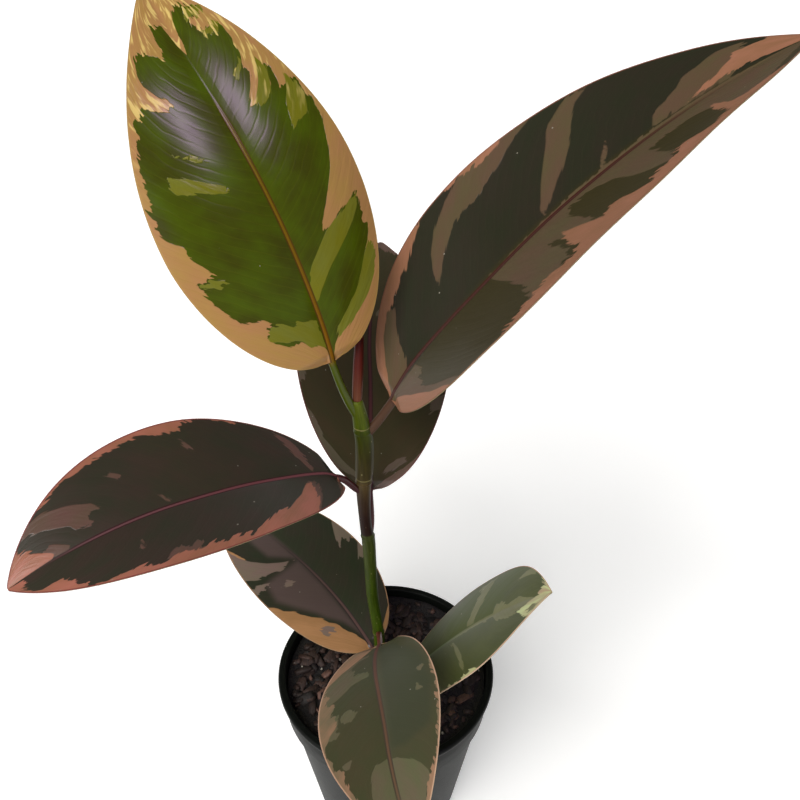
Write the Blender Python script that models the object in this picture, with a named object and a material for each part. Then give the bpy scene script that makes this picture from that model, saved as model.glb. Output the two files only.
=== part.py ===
# Potted ruby rubber plant: a round nursery pot filled with potting mix, one leaning stem,
# a closed bud sheath at its tip and seven broad leaves, each on its own leaf stalk.
# Metres, +Z up, origin at the centre of the pot's flat underside.

import bpy
import bmesh
import math
import random
from mathutils import Matrix, Vector

MM = 0.001
GAP = 0.3 * MM

# Nursery pot, turned about Z
POT_HEIGHT = 95 * MM
RIM_DIAMETER = 108 * MM
BASE_DIAMETER = 77 * MM
WALL = 1.2 * MM
FLOOR = 1.6 * MM
FOOT_CHAMFER = 1.5 * MM
COLLAR_HEIGHT = 21 * MM
COLLAR_STEP = 2.2 * MM
COLLAR_RAMP = 3 * MM
SHOULDER_RADIUS = 49.2 * MM
LIP_WIDTH = 2.2 * MM
LIP_HEIGHT = 3.2 * MM
POT_SIDES = 64
DRAIN_HOLES = 8
DRAIN_DIAMETER = 8 * MM
DRAIN_CIRCLE = 28 * MM

# Potting mix inside the pot: level round the stem, lumpy elsewhere, and banked up to the wall, most at the back
MIX_TOP = 86 * MM
MIX_BANK = 3.5 * MM
MIX_BANK_MORE = 1.5 * MM
MIX_BANK_HEADING = math.radians(60)
MIX_CLEARANCE = 0.45 * MM
MIX_LEVEL_RADIUS = 7 * MM
MIX_LUMP = 1.6 * MM
MIX_RINGS = 7
MIX_SIDES = 32
MIX_SEED = 5

# Stem: height, lean in x, lean in y and diameter, all in mm, from the flat cut to the fork
STEM_STATIONS = (
    (86.3, -1.9, 0.0, 5.8),
    (97, -2.3, 0.1, 5.6),
    (121, -3.4, 0.4, 5.4),
    (145, -5.7, 0.9, 5.5),
    (169, -6.5, 1.5, 5.7),
    (182, -7.0, 1.8, 6.0),
    (191, -8.0, 2.0, 5.2),
    (209, -8.5, 2.6, 6.1),
    (221, -7.8, 2.9, 7.5),
    (235, -7.5, 3.3, 7.5),
    (242, -8.3, 3.7, 6.9),
    (248, -9.0, 4.0, 6.2),
    (255, -10.1, 4.3, 5.0),
)
STEM_SIDES = 14
STEM_RING_STEP = 6 * MM
FLARE_WIDTH = 1.1 * MM
FLARE_FADE = 2.6 * MM
SCAR_HEIGHTS = (97, 121, 184, 215, 241)
SCAR_RISE = 0.25 * MM
SCAR_HALF_HEIGHT = 0.9 * MM
STEM_DOME = 0.9 * MM

# Bud sheath that leans back from the stem's tip
SHEATH_FOOT = Vector((-10.0, 4.4, 256.2)) * MM
SHEATH_TIP = Vector((-7.9, 21.5, 296.0)) * MM
SHEATH_DIAMETER = 4.3 * MM
SHEATH_TIP_DIAMETER = 0.8 * MM
SHEATH_SIDES = 12
SHEATH_RINGS = 10

# Leaf stalks
STALK_SIDES = 10
STALK_RINGS = 7
STALK_SLIDE = 6 * MM
STALK_FAN = 0.25 * MM

# Leaf blades: thickness as a share of the length, and the grid of each blade
BLADE_THICKNESS = 0.0105
BLADE_ROWS = 24
BLADE_COLUMNS = 4
BLADE_SUBSTEPS = 6
DROOP_POWER = 1.3
TIP_HALF_WIDTH = 0.6 * MM
KEEL_HALF_WIDTH = 1.7 * MM
KEEL_END = 0.92

# Each leaf, in mm and degrees.
# base: where the blade meets its stalk; heading: compass angle of the midrib from +X.
# rise: slope of the midrib at the base; arch: how much that slope changes by the tip.
# sweep: change of heading; roll, twist: turn of the blade about its midrib, at the base and added by the tip.
# fold: how far each half stands above level; curl: how much more it turns up by the margin.
# widest: where the blade is widest; base_power, tip_power, tip_bend: fullness of the outline.
# node, leave, climb, foot: height on the stem, heading, slope and diameter where the stalk leaves it.
# end: diameter of the stalk where it meets the blade.
LEAVES = {
    "top": dict(
        base=(-18.1, 1.0, 275.6), heading=145, rise=69, arch=-24, sweep=0, roll=20, twist=1,
        fold=6, curl=-20, length=145.5, left=42.5, right=39.8, widest=0.40,
        base_power=1.8, tip_power=2.1, tip_bend=0.98, node=246.0, leave=186, climb=60, foot=4.0, end=3.0,
        colour=(0.045, 0.088, 0.008)),
    "right": dict(
        base=(3.2, 6.8, 254.5), heading=14, rise=56, arch=-36, sweep=-1, roll=-7, twist=4,
        fold=11, curl=10, length=202, left=44.6, right=44.2, widest=0.32,
        base_power=1.9, tip_power=2.3, tip_bend=0.96, node=238.5, leave=12, climb=38, foot=4.4, end=3.5,
        colour=(0.021, 0.021, 0.014)),
    "left": dict(
        base=(-19.0, -3.7, 223.7), heading=213, rise=24, arch=-44, sweep=3, roll=3, twist=8,
        fold=11, curl=2, length=130, left=34.4, right=35.1, widest=0.45,
        base_power=1.8, tip_power=2.3, tip_bend=0.90, node=209.0, leave=208, climb=34, foot=3.3, end=2.8,
        colour=(0.032, 0.023, 0.023)),
    "back": dict(
        base=(-5.9, 11.7, 203.0), heading=92, rise=26, arch=-20, sweep=-6, roll=-14, twist=2,
        fold=13, curl=-8, length=161.5, left=38.4, right=38.1, widest=0.42,
        base_power=1.5, tip_power=2.0, tip_bend=1.0, node=182.5, leave=46, climb=62, foot=3.2, end=2.8,
        colour=(0.026, 0.026, 0.019)),
    "lower_left": dict(
        base=(-6.9, 3.0, 105.9), heading=130, rise=23, arch=-39, sweep=10, roll=0, twist=0,
        fold=9, curl=-13, length=129.5, left=32.1, right=31.6, widest=0.43,
        base_power=2.0, tip_power=2.0, tip_bend=0.95, node=96.5, leave=150, climb=45, foot=3.0, end=2.4,
        colour=(0.058, 0.050, 0.047)),
    "front": dict(
        base=(-2.7, -15.4, 131.4), heading=-90, rise=22, arch=-30, sweep=17, roll=-23, twist=2,
        fold=9, curl=-1, length=108, left=26.1, right=27.8, widest=0.42,
        base_power=2.0, tip_power=2.0, tip_bend=1.06, node=120.5, leave=-84, climb=36, foot=3.0, end=2.4,
        colour=(0.062, 0.070, 0.037)),
    "lower_right": dict(
        base=(10.7, -7.7, 97.3), heading=-14, rise=61, arch=-17, sweep=-12, roll=1, twist=-5,
        fold=8, curl=-22, length=106.5, left=31.7, right=31.4, widest=0.49,
        base_power=2.1, tip_power=2.6, tip_bend=1.0, node=89.5, leave=-34, climb=18, foot=3.0, end=2.4,
        colour=(0.091, 0.113, 0.052)),
}

# Colours, roughness and metallic value of the other pieces
POT_FINISH = ((0.012, 0.015, 0.012), 0.38, 0.0)
MIX_FINISH = ((0.030, 0.017, 0.012), 0.95, 0.0)
STEM_FINISH = ((0.058, 0.066, 0.009), 0.55, 0.0)
SHEATH_FINISH = ((0.300, 0.038, 0.026), 0.45, 0.0)
STALK_FINISH = ((0.105, 0.040, 0.030), 0.50, 0.0)
BLADE_ROUGHNESS = 0.32


def clear_scene():
    for old in list(bpy.data.objects):
        bpy.data.objects.remove(old, do_unlink=True)


def finish_material(name, colour, roughness, metallic):
    material = bpy.data.materials.new(name)
    material.use_nodes = True
    shader = material.node_tree.nodes["Principled BSDF"]
    shader.inputs["Base Color"].default_value = (*colour, 1.0)
    shader.inputs["Roughness"].default_value = roughness
    shader.inputs["Metallic"].default_value = metallic
    return material


def add_object(name, bm, material, sharp_degrees=40):
    bmesh.ops.recalc_face_normals(bm, faces=bm.faces)
    mesh = bpy.data.meshes.new(name)
    bm.to_mesh(mesh)
    bm.free()
    mesh.shade_smooth()
    mesh.set_sharp_from_angle(angle=math.radians(sharp_degrees))
    mesh.materials.append(material)
    piece = bpy.data.objects.new(name, mesh)
    bpy.context.collection.objects.link(piece)
    return piece


def loft(rings, foot_centre=None):
    # A closed body through rings of points that all have the same count.
    # With a foot centre the first end is a fan round that point, and so it may be hollowed.
    bm = bmesh.new()
    loops = [[bm.verts.new(point) for point in ring] for ring in rings]
    count = len(loops[0])
    for lower, upper in zip(loops, loops[1:]):
        for i in range(count):
            j = (i + 1) % count
            bm.faces.new((lower[i], lower[j], upper[j], upper[i]))
    if foot_centre is None:
        bm.faces.new(reversed(loops[0]))
    else:
        hub = bm.verts.new(foot_centre)
        for i in range(count):
            bm.faces.new((hub, loops[0][(i + 1) % count], loops[0][i]))
    bm.faces.new(loops[-1])
    return bm


def turned(profile, sides):
    # A closed body turned about Z from (radius, height) points that start and end on the axis
    bm = bmesh.new()
    verts = [bm.verts.new((radius, 0, height)) for radius, height in profile]
    edges = [bm.edges.new(pair) for pair in zip(verts, verts[1:])]
    bmesh.ops.spin(bm, geom=verts + edges, cent=(0, 0, 0), axis=(0, 0, 1),
                   angle=math.tau, steps=sides, use_merge=True)
    bmesh.ops.remove_doubles(bm, verts=bm.verts, dist=0.01 * MM)
    return bm


def circle_points(centre, side, up, radius, sides):
    angles = [math.tau * i / sides for i in range(sides)]
    return [centre + radius * (math.cos(a) * side + math.sin(a) * up) for a in angles]


def direction(heading, slope):
    # Unit vector at a compass heading and a slope above level, both in degrees
    turn = math.radians(heading)
    tilt = math.radians(slope)
    return Vector((math.cos(turn) * math.cos(tilt), math.sin(turn) * math.cos(tilt), math.sin(tilt)))


def collar_foot():
    return POT_HEIGHT - COLLAR_HEIGHT


def pot_outside(height):
    # Outer radius of the wall below the lip
    foot_radius = BASE_DIAMETER / 2
    foot = collar_foot()
    if height <= foot:
        return foot_radius + (SHOULDER_RADIUS - foot_radius) * height / foot
    ramp = min(1.0, (height - foot) / COLLAR_RAMP)
    return SHOULDER_RADIUS + COLLAR_STEP * ramp


def pot_inside(height):
    return pot_outside(height) - WALL


def build_pot():
    foot = collar_foot()
    collar = foot + COLLAR_RAMP
    lip_foot = POT_HEIGHT - LIP_HEIGHT
    lip_radius = RIM_DIAMETER / 2
    profile = [(0, 0), (BASE_DIAMETER / 2 - FOOT_CHAMFER, 0)]
    profile += [(pot_outside(z), z) for z in (FOOT_CHAMFER, foot, collar, lip_foot - LIP_WIDTH / 2)]
    for i in range(5):
        # Rolled lip, a half round that ends on the inner wall's radius
        a = -math.pi / 4 + i * math.pi * 0.75 / 4
        profile.append((lip_radius - LIP_WIDTH * (1 - math.cos(a)) * 0.5,
                        POT_HEIGHT - LIP_HEIGHT / 2 + LIP_HEIGHT / 2 * math.sin(a)))
    profile.append((pot_inside(POT_HEIGHT) + WALL / 3, POT_HEIGHT))
    profile += [(pot_inside(z), z) for z in (POT_HEIGHT - WALL, collar, foot, FLOOR)]
    profile.append((0, FLOOR))
    pot = add_object("pot", turned(profile, POT_SIDES), finish_material("pot_plastic", *POT_FINISH))

    cutter_mesh = bmesh.new()
    for i in range(DRAIN_HOLES):
        a = math.tau * i / DRAIN_HOLES
        place = Matrix.Translation((DRAIN_CIRCLE * math.cos(a), DRAIN_CIRCLE * math.sin(a), FLOOR / 2))
        bmesh.ops.create_cone(cutter_mesh, cap_ends=True, segments=12, radius1=DRAIN_DIAMETER / 2,
                              radius2=DRAIN_DIAMETER / 2, depth=FLOOR * 3, matrix=place)
    cutter = add_object("drain_hole_cutter", cutter_mesh, pot.data.materials[0])
    cutter.hide_render = True
    cutter.display_type = "WIRE"
    cut = pot.modifiers.new("drain_holes", "BOOLEAN")
    cut.operation = "DIFFERENCE"
    cut.object = cutter
    return pot


def mix_bank(point):
    # How far the mix rises above its level patch, towards the wall
    edge = pot_inside(MIX_TOP) - MIX_CLEARANCE
    share = max(0.0, math.hypot(point.x, point.y) - MIX_LEVEL_RADIUS) / (edge - MIX_LEVEL_RADIUS)
    more = MIX_BANK_MORE * math.cos(math.atan2(point.y, point.x) - MIX_BANK_HEADING)
    return share ** 2 * (MIX_BANK + more)


def build_potting_mix():
    lumps = random.Random(MIX_SEED)
    foot = collar_foot()
    heights = (FLOOR + GAP, foot, foot + COLLAR_RAMP, MIX_TOP - MIX_LUMP)

    def wall_ring(height):
        return circle_points(Vector((0, 0, height)), Vector((1, 0, 0)), Vector((0, 1, 0)),
                             pot_inside(height) - MIX_CLEARANCE, MIX_SIDES)

    rings = [wall_ring(height) for height in heights]
    for point in rings[-1]:
        point.z += mix_bank(point)
    edge = pot_inside(MIX_TOP) - MIX_CLEARANCE
    for step in range(1, MIX_RINGS + 1):
        # The top runs in from the wall to a level patch under the stem
        radius = edge + (MIX_LEVEL_RADIUS - edge) * step / MIX_RINGS
        level = step == MIX_RINGS
        ring = circle_points(Vector((0, 0, MIX_TOP)), Vector((1, 0, 0)), Vector((0, 1, 0)),
                             radius, MIX_SIDES)
        for point in ring:
            point.z += 0 if level else mix_bank(point) - MIX_LUMP * lumps.random()
        rings.append(ring)
    return add_object("potting_mix", loft(rings), finish_material("potting_mix", *MIX_FINISH), 25)


def station(height):
    # Centre and diameter of the stem at a height, on a smooth curve through the stations
    rows = STEM_STATIONS
    z = height / MM
    k = 0
    while k < len(rows) - 2 and z > rows[k + 1][0]:
        k += 1
    before = rows[max(k - 1, 0)]
    start = rows[k]
    end = rows[k + 1]
    after = rows[min(k + 2, len(rows) - 1)]
    span = end[0] - start[0]
    t = (z - start[0]) / span
    values = []
    for i in (1, 2, 3):
        slope_in = (end[i] - before[i]) / (end[0] - before[0]) * span
        slope_out = (after[i] - start[i]) / (after[0] - start[0]) * span
        values.append((2 * t ** 3 - 3 * t ** 2 + 1) * start[i] + (t ** 3 - 2 * t ** 2 + t) * slope_in
                      + (3 * t ** 2 - 2 * t ** 3) * end[i] + (t ** 3 - t ** 2) * slope_out)
    x, y, diameter = values
    return Vector((x * MM, y * MM, height)), diameter * MM


def stem_radius(height):
    radius = station(height)[1] / 2
    foot = STEM_STATIONS[0][0] * MM
    radius += FLARE_WIDTH * math.exp(-(height - foot) / FLARE_FADE)
    for scar in SCAR_HEIGHTS:
        away = abs(height - scar * MM) / SCAR_HALF_HEIGHT
        radius += SCAR_RISE * max(0.0, 1.0 - away)
    return radius


def stem_clearance(point):
    # Distance of a point outside the stem's skin
    centre, _ = station(point.z)
    return math.hypot(point.x - centre.x, point.y - centre.y) - stem_radius(point.z)


def build_stem():
    foot = STEM_STATIONS[0][0] * MM
    tip = STEM_STATIONS[-1][0] * MM
    heights = {foot, foot + 0.8 * MM, foot + 2 * MM, foot + 4 * MM, foot + 7 * MM, tip}
    steps = int((tip - foot) / STEM_RING_STEP)
    heights.update(foot + STEM_RING_STEP * i for i in range(2, steps))
    for scar in SCAR_HEIGHTS:
        near = {h for h in heights if abs(h - scar * MM) < 2 * SCAR_HALF_HEIGHT}
        heights -= near
        heights.update(scar * MM + k * SCAR_HALF_HEIGHT for k in (-1, -0.4, 0, 0.4, 1))
    side = Vector((1, 0, 0))
    back = Vector((0, 1, 0))
    rings = [circle_points(station(h)[0], side, back, stem_radius(h), STEM_SIDES) for h in sorted(heights)]
    crown, _ = station(tip)
    rings.append(circle_points(crown + Vector((0, 0, STEM_DOME)), side, back,
                               stem_radius(tip) * 0.78, STEM_SIDES))
    return add_object("stem", loft(rings), finish_material("stem_bark", *STEM_FINISH))


def build_sheath():
    # A slim bud, widest a quarter of the way up, drawn out to a point
    axis = (SHEATH_TIP - SHEATH_FOOT).normalized()
    side = axis.cross(Vector((0, 1, 0))).normalized()
    up = side.cross(axis)
    rings = []
    for i in range(SHEATH_RINGS + 1):
        t = i / SHEATH_RINGS
        fullness = (1 - t ** 2.2) * (0.92 + 0.5 * t * (1 - t))
        diameter = SHEATH_TIP_DIAMETER + (SHEATH_DIAMETER - SHEATH_TIP_DIAMETER) * fullness
        centre = SHEATH_FOOT.lerp(SHEATH_TIP, t)
        rings.append(circle_points(centre, side, up, diameter / 2, SHEATH_SIDES))
    # The foot is cut level, so that it stands on the stem's tip
    for point in rings[0]:
        point += axis * ((SHEATH_FOOT.z - point.z) / axis.z)
    return add_object("bud_sheath", loft(rings), finish_material("sheath_skin", *SHEATH_FINISH))


def blade_axes(leaf, t):
    # Along, right and up of the blade at a fraction of its length, before the heading is set
    along = direction(leaf["sweep"] * t, leaf["rise"] + leaf["arch"] * t ** DROOP_POWER)
    level = Vector((along.y, -along.x, 0)).normalized()
    upright = level.cross(along)
    roll = math.radians(leaf["roll"] + leaf["twist"] * t)
    right = math.cos(roll) * level + math.sin(roll) * upright
    up = math.cos(roll) * upright - math.sin(roll) * level
    return along, right, up


def fullness(leaf, t):
    # Half width of the outline at a fraction of the length, 1 where the blade is widest
    widest = leaf["widest"]
    if t < widest:
        return math.sqrt(max(0.0, 1 - (1 - t / widest) ** leaf["base_power"]))
    return max(0.0, 1 - ((t - widest) / (1 - widest)) ** leaf["tip_power"]) ** leaf["tip_bend"]


def arc_offset(start, change, share):
    # Sideways and upward travel along an arc that turns evenly from the midrib outwards
    if abs(change) < 1e-4:
        return share * math.cos(start), share * math.sin(start)
    end = start + change * share
    return (math.sin(end) - math.sin(start)) / change, (math.cos(start) - math.cos(end)) / change


def blade_point(leaf, centre, right, up, t, hand, half, share):
    # A point on the upper face and the face's normal there; hand is 1 right and -1 left
    fold = math.radians(leaf["fold"])
    curl = math.radians(leaf["curl"]) * fullness(leaf, t)
    across, lift = arc_offset(fold, curl, share)
    angle = fold + curl * share
    point = centre + half * (hand * across * right + lift * up)
    normal = math.cos(angle) * up - hand * math.sin(angle) * right
    return point, normal


def blade_ring(leaf, centre, t):
    # The blade's cut across the midrib: upper face from left to right, lower face back
    _, right, up = blade_axes(leaf, t)
    length = leaf["length"] * MM
    thickness = BLADE_THICKNESS * length
    end = leaf["end"] * MM
    keel = (end - thickness) * max(0.0, 1 - t / KEEL_END)
    least = end / 2 + (TIP_HALF_WIDTH - end / 2) * t
    upper = {0: centre}
    lower = {0: centre - (thickness + keel) * up}
    for hand, name in ((-1, "left"), (1, "right")):
        half = (leaf[name] * MM - least) * fullness(leaf, t) + least
        rib = min(KEEL_HALF_WIDTH * (1 - 0.6 * t) / half, 0.45)
        for k in range(BLADE_COLUMNS + 1):
            share = rib + (1 - rib) * k / BLADE_COLUMNS
            point, normal = blade_point(leaf, centre, right, up, t, hand, half, share)
            upper[hand * (k + 1)] = point
            lower[hand * (k + 1)] = point - thickness * normal
    order = sorted(upper)
    return [upper[k] for k in order] + [lower[k] for k in reversed(order)]


def blade_midrib(leaf, rows):
    # The midrib's points, by adding up short steps along its slope
    length = leaf["length"] * MM
    centre = Vector((0, 0, 0))
    points = [centre.copy()]
    for start, end in zip(rows, rows[1:]):
        step = (end - start) / BLADE_SUBSTEPS
        for k in range(BLADE_SUBSTEPS):
            along, _, _ = blade_axes(leaf, start + (k + 0.5) * step)
            centre = centre + along * step * length
        points.append(centre.copy())
    return points


def build_blade(name, leaf):
    rows = [0.5 - 0.5 * math.cos(math.pi * i / BLADE_ROWS) for i in range(BLADE_ROWS + 1)]
    rings = [blade_ring(leaf, centre, t) for centre, t in zip(blade_midrib(leaf, rows), rows)]
    finish = finish_material(f"leaf_{name}", leaf["colour"], BLADE_ROUGHNESS, 0.0)
    blade = add_object(f"leaf_{name}", loft(rings), finish)
    blade.location = Vector(leaf["base"]) * MM
    blade.rotation_euler.z = math.radians(leaf["heading"])
    return blade


def stalk_path(leaf):
    # Four control points of the stalk's curve, from the stem's axis to just short of the blade
    turn = Matrix.Rotation(math.radians(leaf["heading"]), 3, "Z")
    along, _, up = blade_axes(leaf, 0)
    along = turn @ along
    up = turn @ up
    end = Vector(leaf["base"]) * MM - along * GAP - up * leaf["end"] / 2 * MM
    start, _ = station(leaf["node"] * MM)
    reach = (end - start).length / 3
    first = start + direction(leaf["leave"], leaf["climb"]) * reach
    return start, first, end - along * reach, end


def curve_at(path, t):
    a, b, c, d = path
    point = (1 - t) ** 3 * a + 3 * (1 - t) ** 2 * t * b + 3 * (1 - t) * t ** 2 * c + t ** 3 * d
    tangent = (1 - t) ** 2 * (b - a) + 2 * (1 - t) * t * (c - b) + t ** 2 * (d - c)
    return point, tangent.normalized()


def slide_off_stem(point, tangent, clearance, low):
    # Moves a point along the stalk until it lies a clearance outside the stem
    high = STALK_SLIDE
    for _ in range(40):
        middle = (low + high) / 2
        if stem_clearance(point + tangent * middle) > clearance:
            high = middle
        else:
            low = middle
    return point + tangent * high


def build_stalk(name, leaf):
    path = stalk_path(leaf)
    low = 0.0
    high = 1.0
    for _ in range(40):
        middle = (low + high) / 2
        if stem_clearance(curve_at(path, middle)[0]) > GAP:
            high = middle
        else:
            low = middle
    start = high
    turn = Matrix.Rotation(math.radians(leaf["heading"]), 3, "Z")
    _, right, _ = blade_axes(leaf, 0)
    right = turn @ right
    rings = []
    for i in range(STALK_RINGS + 1):
        t = start + (1 - start) * i / STALK_RINGS
        point, tangent = curve_at(path, t)
        up = right.cross(tangent).normalized()
        side = tangent.cross(up)
        share = i / STALK_RINGS
        diameter = (leaf["foot"] + (leaf["end"] - leaf["foot"]) * share ** 0.6) * MM
        ring = circle_points(point, side, up, diameter / 2, STALK_SIDES)
        if i == 0:
            hub = slide_off_stem(point, tangent, GAP, -STALK_SLIDE)
            ring = [slide_off_stem(corner, tangent, GAP, -STALK_SLIDE) for corner in ring]
        else:
            # Corners of the next rings that would reach into the stem stay just outside it
            clearance = GAP + STALK_FAN * i
            ring = [slide_off_stem(corner, tangent, clearance, 0.0)
                    if stem_clearance(corner) < clearance else corner for corner in ring]
        rings.append(ring)
    body = loft(rings, foot_centre=hub)
    return add_object(f"stalk_{name}", body, finish_material(f"stalk_{name}", *STALK_FINISH))


def build_plant():
    clear_scene()
    build_pot()
    build_potting_mix()
    build_stem()
    build_sheath()
    for name, leaf in LEAVES.items():
        build_stalk(name, leaf)
        build_blade(name, leaf)


build_plant()
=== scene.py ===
import math
import random
from functools import partial

import bmesh
import bpy
import numpy as np
from mathutils import Matrix, Vector, noise


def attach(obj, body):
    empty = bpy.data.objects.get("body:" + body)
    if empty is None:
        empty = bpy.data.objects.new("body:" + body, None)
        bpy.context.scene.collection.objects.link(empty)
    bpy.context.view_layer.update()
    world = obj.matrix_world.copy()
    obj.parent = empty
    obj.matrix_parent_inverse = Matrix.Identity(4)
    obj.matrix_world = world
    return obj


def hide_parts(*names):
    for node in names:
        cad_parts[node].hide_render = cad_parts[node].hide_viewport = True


# Potted rubber plant: seven mottled leaves on one leaning stem, a red bud sheath and a nursery pot.

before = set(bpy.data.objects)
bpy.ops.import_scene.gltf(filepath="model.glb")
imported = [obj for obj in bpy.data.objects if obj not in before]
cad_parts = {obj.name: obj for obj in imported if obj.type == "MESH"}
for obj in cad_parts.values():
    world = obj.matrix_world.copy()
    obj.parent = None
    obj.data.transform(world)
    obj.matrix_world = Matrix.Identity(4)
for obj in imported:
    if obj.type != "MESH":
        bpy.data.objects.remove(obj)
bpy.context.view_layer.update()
mm = 0.001

# settings that many nodes share
rgba = dict(data_type="RGBA")
flat2D = dict(noise_dimensions="2D")
softStep = dict(interpolation_type="SMOOTHSTEP")


def hexColour(code, scale=1.0):
    # sRGB hex to the linear colour that the shaders take
    parts = [int(code[i:i + 2], 16) / 255 for i in (0, 2, 4)]
    linear = [c / 12.92 if c <= 0.04045 else ((c + 0.055) / 1.055) ** 2.4 for c in parts]
    return (*[c * scale for c in linear], 1.0)


def addNode(tree, kind, inputs=None, **settings):
    # adds a node, sets its properties, and fills its inputs, which may be values, sockets or nodes
    node = tree.nodes.new("ShaderNode" + kind)
    for key, value in settings.items():
        setattr(node, key, value)
    for key, value in (inputs or {}).items():
        if isinstance(value, bpy.types.Node):
            value = next(output for output in value.outputs if output.enabled)
        if isinstance(value, bpy.types.NodeSocket):
            tree.links.new(value, node.inputs[key])
        else:
            node.inputs[key].default_value = value
    return node


def newMaterial(name):
    # a material without nodes, and addNode for its tree
    material = bpy.data.materials.new(name)
    material.use_nodes = True
    material.node_tree.nodes.clear()
    return material, partial(addNode, material.node_tree)


def closeMaterial(add, inputs):
    add("OutputMaterial", {"Surface": add("BsdfPrincipled", inputs)})


def mottle(add, colour, pattern, low, high):
    # darkens and lightens a colour by a pattern, from low to high times
    shade = add("MapRange", {"Value": pattern, "From Min": 0.3, "From Max": 0.7, "To Min": low,
                             "To Max": high})
    return add("Mix", {0: 1.0, 6: colour, 7: shade}, blend_type="MULTIPLY", **rgba)


def rampOf(add, share, stops):
    # a colour ramp through stops of a place from 0 to 1 and a tone
    ramp = add("ValToRGB", {0: share})
    elements = ramp.color_ramp.elements
    while len(elements) < len(stops):
        elements.new(1.0)
    for element, (at, tone) in zip(elements, stops):
        element.position = at
        element.color = hexColour(tone)
    return ramp


def meshFrom(bm, name):
    mesh = bpy.data.meshes.new(name)
    bm.to_mesh(mesh)
    bm.free()
    return mesh


def turnProfile(profile, sides):
    # a bmesh turned about Z from a profile of radius and height in mm
    bm = bmesh.new()
    line = [bm.verts.new((x * mm, 0, z * mm)) for x, z in profile]
    edges = [bm.edges.new(pair) for pair in zip(line, line[1:])]
    bmesh.ops.spin(bm, geom=line + edges, cent=(0, 0, 0), axis=(0, 0, 1), angle=math.tau, steps=sides,
                   use_merge=True)
    bmesh.ops.remove_doubles(bm, verts=bm.verts, dist=0.01 * mm)
    return bm


def finishPiece(mesh, name, nodes, materials):
    # puts a mesh in the scene as a piece that rides on the plant and stands for its solids
    mesh.shade_smooth()
    for material in materials:
        mesh.materials.append(material)
    piece = bpy.data.objects.new(name, mesh)
    bpy.context.scene.collection.objects.link(piece)
    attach(piece, "root")
    if nodes:
        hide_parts(*nodes)
    return piece


def wrapGrid(name, points, fields):
    # wraps a grid into one closed skin: rows run along it, columns go once round it
    rows, columns = points.shape[:2]
    bm = bmesh.new()
    bmesh.ops.create_grid(bm, x_segments=columns - 1, y_segments=rows - 1, size=1)
    mesh = meshFrom(bm, name)
    flat = np.empty(len(mesh.vertices) * 3)
    mesh.vertices.foreach_get("co", flat)
    place = flat.reshape(-1, 3)
    column = np.rint((place[:, 0] + 1) / 2 * (columns - 1)).astype(int)
    row = np.rint((place[:, 1] + 1) / 2 * (rows - 1)).astype(int)
    mesh.vertices.foreach_set("co", (points[row, column] * mm).ravel())
    for key, values in fields.items():
        layer = mesh.attributes.new(key, "FLOAT_VECTOR", "POINT")
        layer.data.foreach_set("vector", values[row, column].astype(np.float32).ravel())
    bm = bmesh.new()
    bm.from_mesh(mesh)
    seam = [v for v in bm.verts if v.is_boundary]
    bmesh.ops.remove_doubles(bm, verts=seam, dist=0.001 * mm)
    bmesh.ops.holes_fill(bm, edges=[e for e in bm.edges if e.is_boundary], sides=0)
    bmesh.ops.recalc_face_normals(bm, faces=bm.faces)
    bm.to_mesh(mesh)
    bm.free()
    return mesh


def direction(heading, slope):
    # unit vectors at compass headings and slopes above level, in degrees
    turn, tilt = np.radians(heading), np.radians(slope)
    return np.stack([np.cos(turn) * np.cos(tilt), np.sin(turn) * np.cos(tilt), np.sin(tilt) + 0 * turn], -1)


def smooth(x):
    x = np.clip(x, 0, 1)
    return x * x * (3 - 2 * x)


# Camera at the photograph's place: 35 degrees down, from in front and above
view = dict(place=(7.1, -261.8, 441.9), down=35.0, lens=36.9, sensor=36.0)
cameraData = bpy.data.cameras.new("camera")
cameraData.lens = view["lens"]
cameraData.sensor_width = view["sensor"]
cameraData.clip_start, cameraData.clip_end = 0.01, 50
camera = bpy.data.objects.new("camera", cameraData)
camera.location = Vector(view["place"]) * mm
camera.rotation_euler = (math.radians(90 - view["down"]), 0, 0)
bpy.context.scene.collection.objects.link(camera)
bpy.context.scene.camera = camera
print("camera placed")

# Stem: height, lean in x, lean in y and diameter in mm, as in the part's source
stemSize = dict(stations=[(86.3, -1.9, 0.0, 5.8), (97, -2.3, 0.1, 5.6), (121, -3.4, 0.4, 5.4),
                          (145, -5.7, 0.9, 5.5), (169, -6.5, 1.5, 5.7), (182, -7.0, 1.8, 6.0),
                          (191, -8.0, 2.0, 5.2), (209, -8.5, 2.6, 6.1), (221, -7.8, 2.9, 7.5),
                          (235, -7.5, 3.3, 7.5), (242, -8.3, 3.7, 6.9), (248, -9.0, 4.0, 6.2),
                          (255, -10.1, 4.3, 5.0)], scars=[97, 121, 184, 215, 241], scarRise=0.28,
                scarHalfHeight=0.8, scarRows=(-0.8, -0.4, 0, 0.3, 0.8), roundFrom=255, roundLength=1.4,
                leastShare=0.02, flare=1.1, flareFade=2.6, foot=84.5, top=256.3, rowStep=0.8, sides=48)


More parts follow.
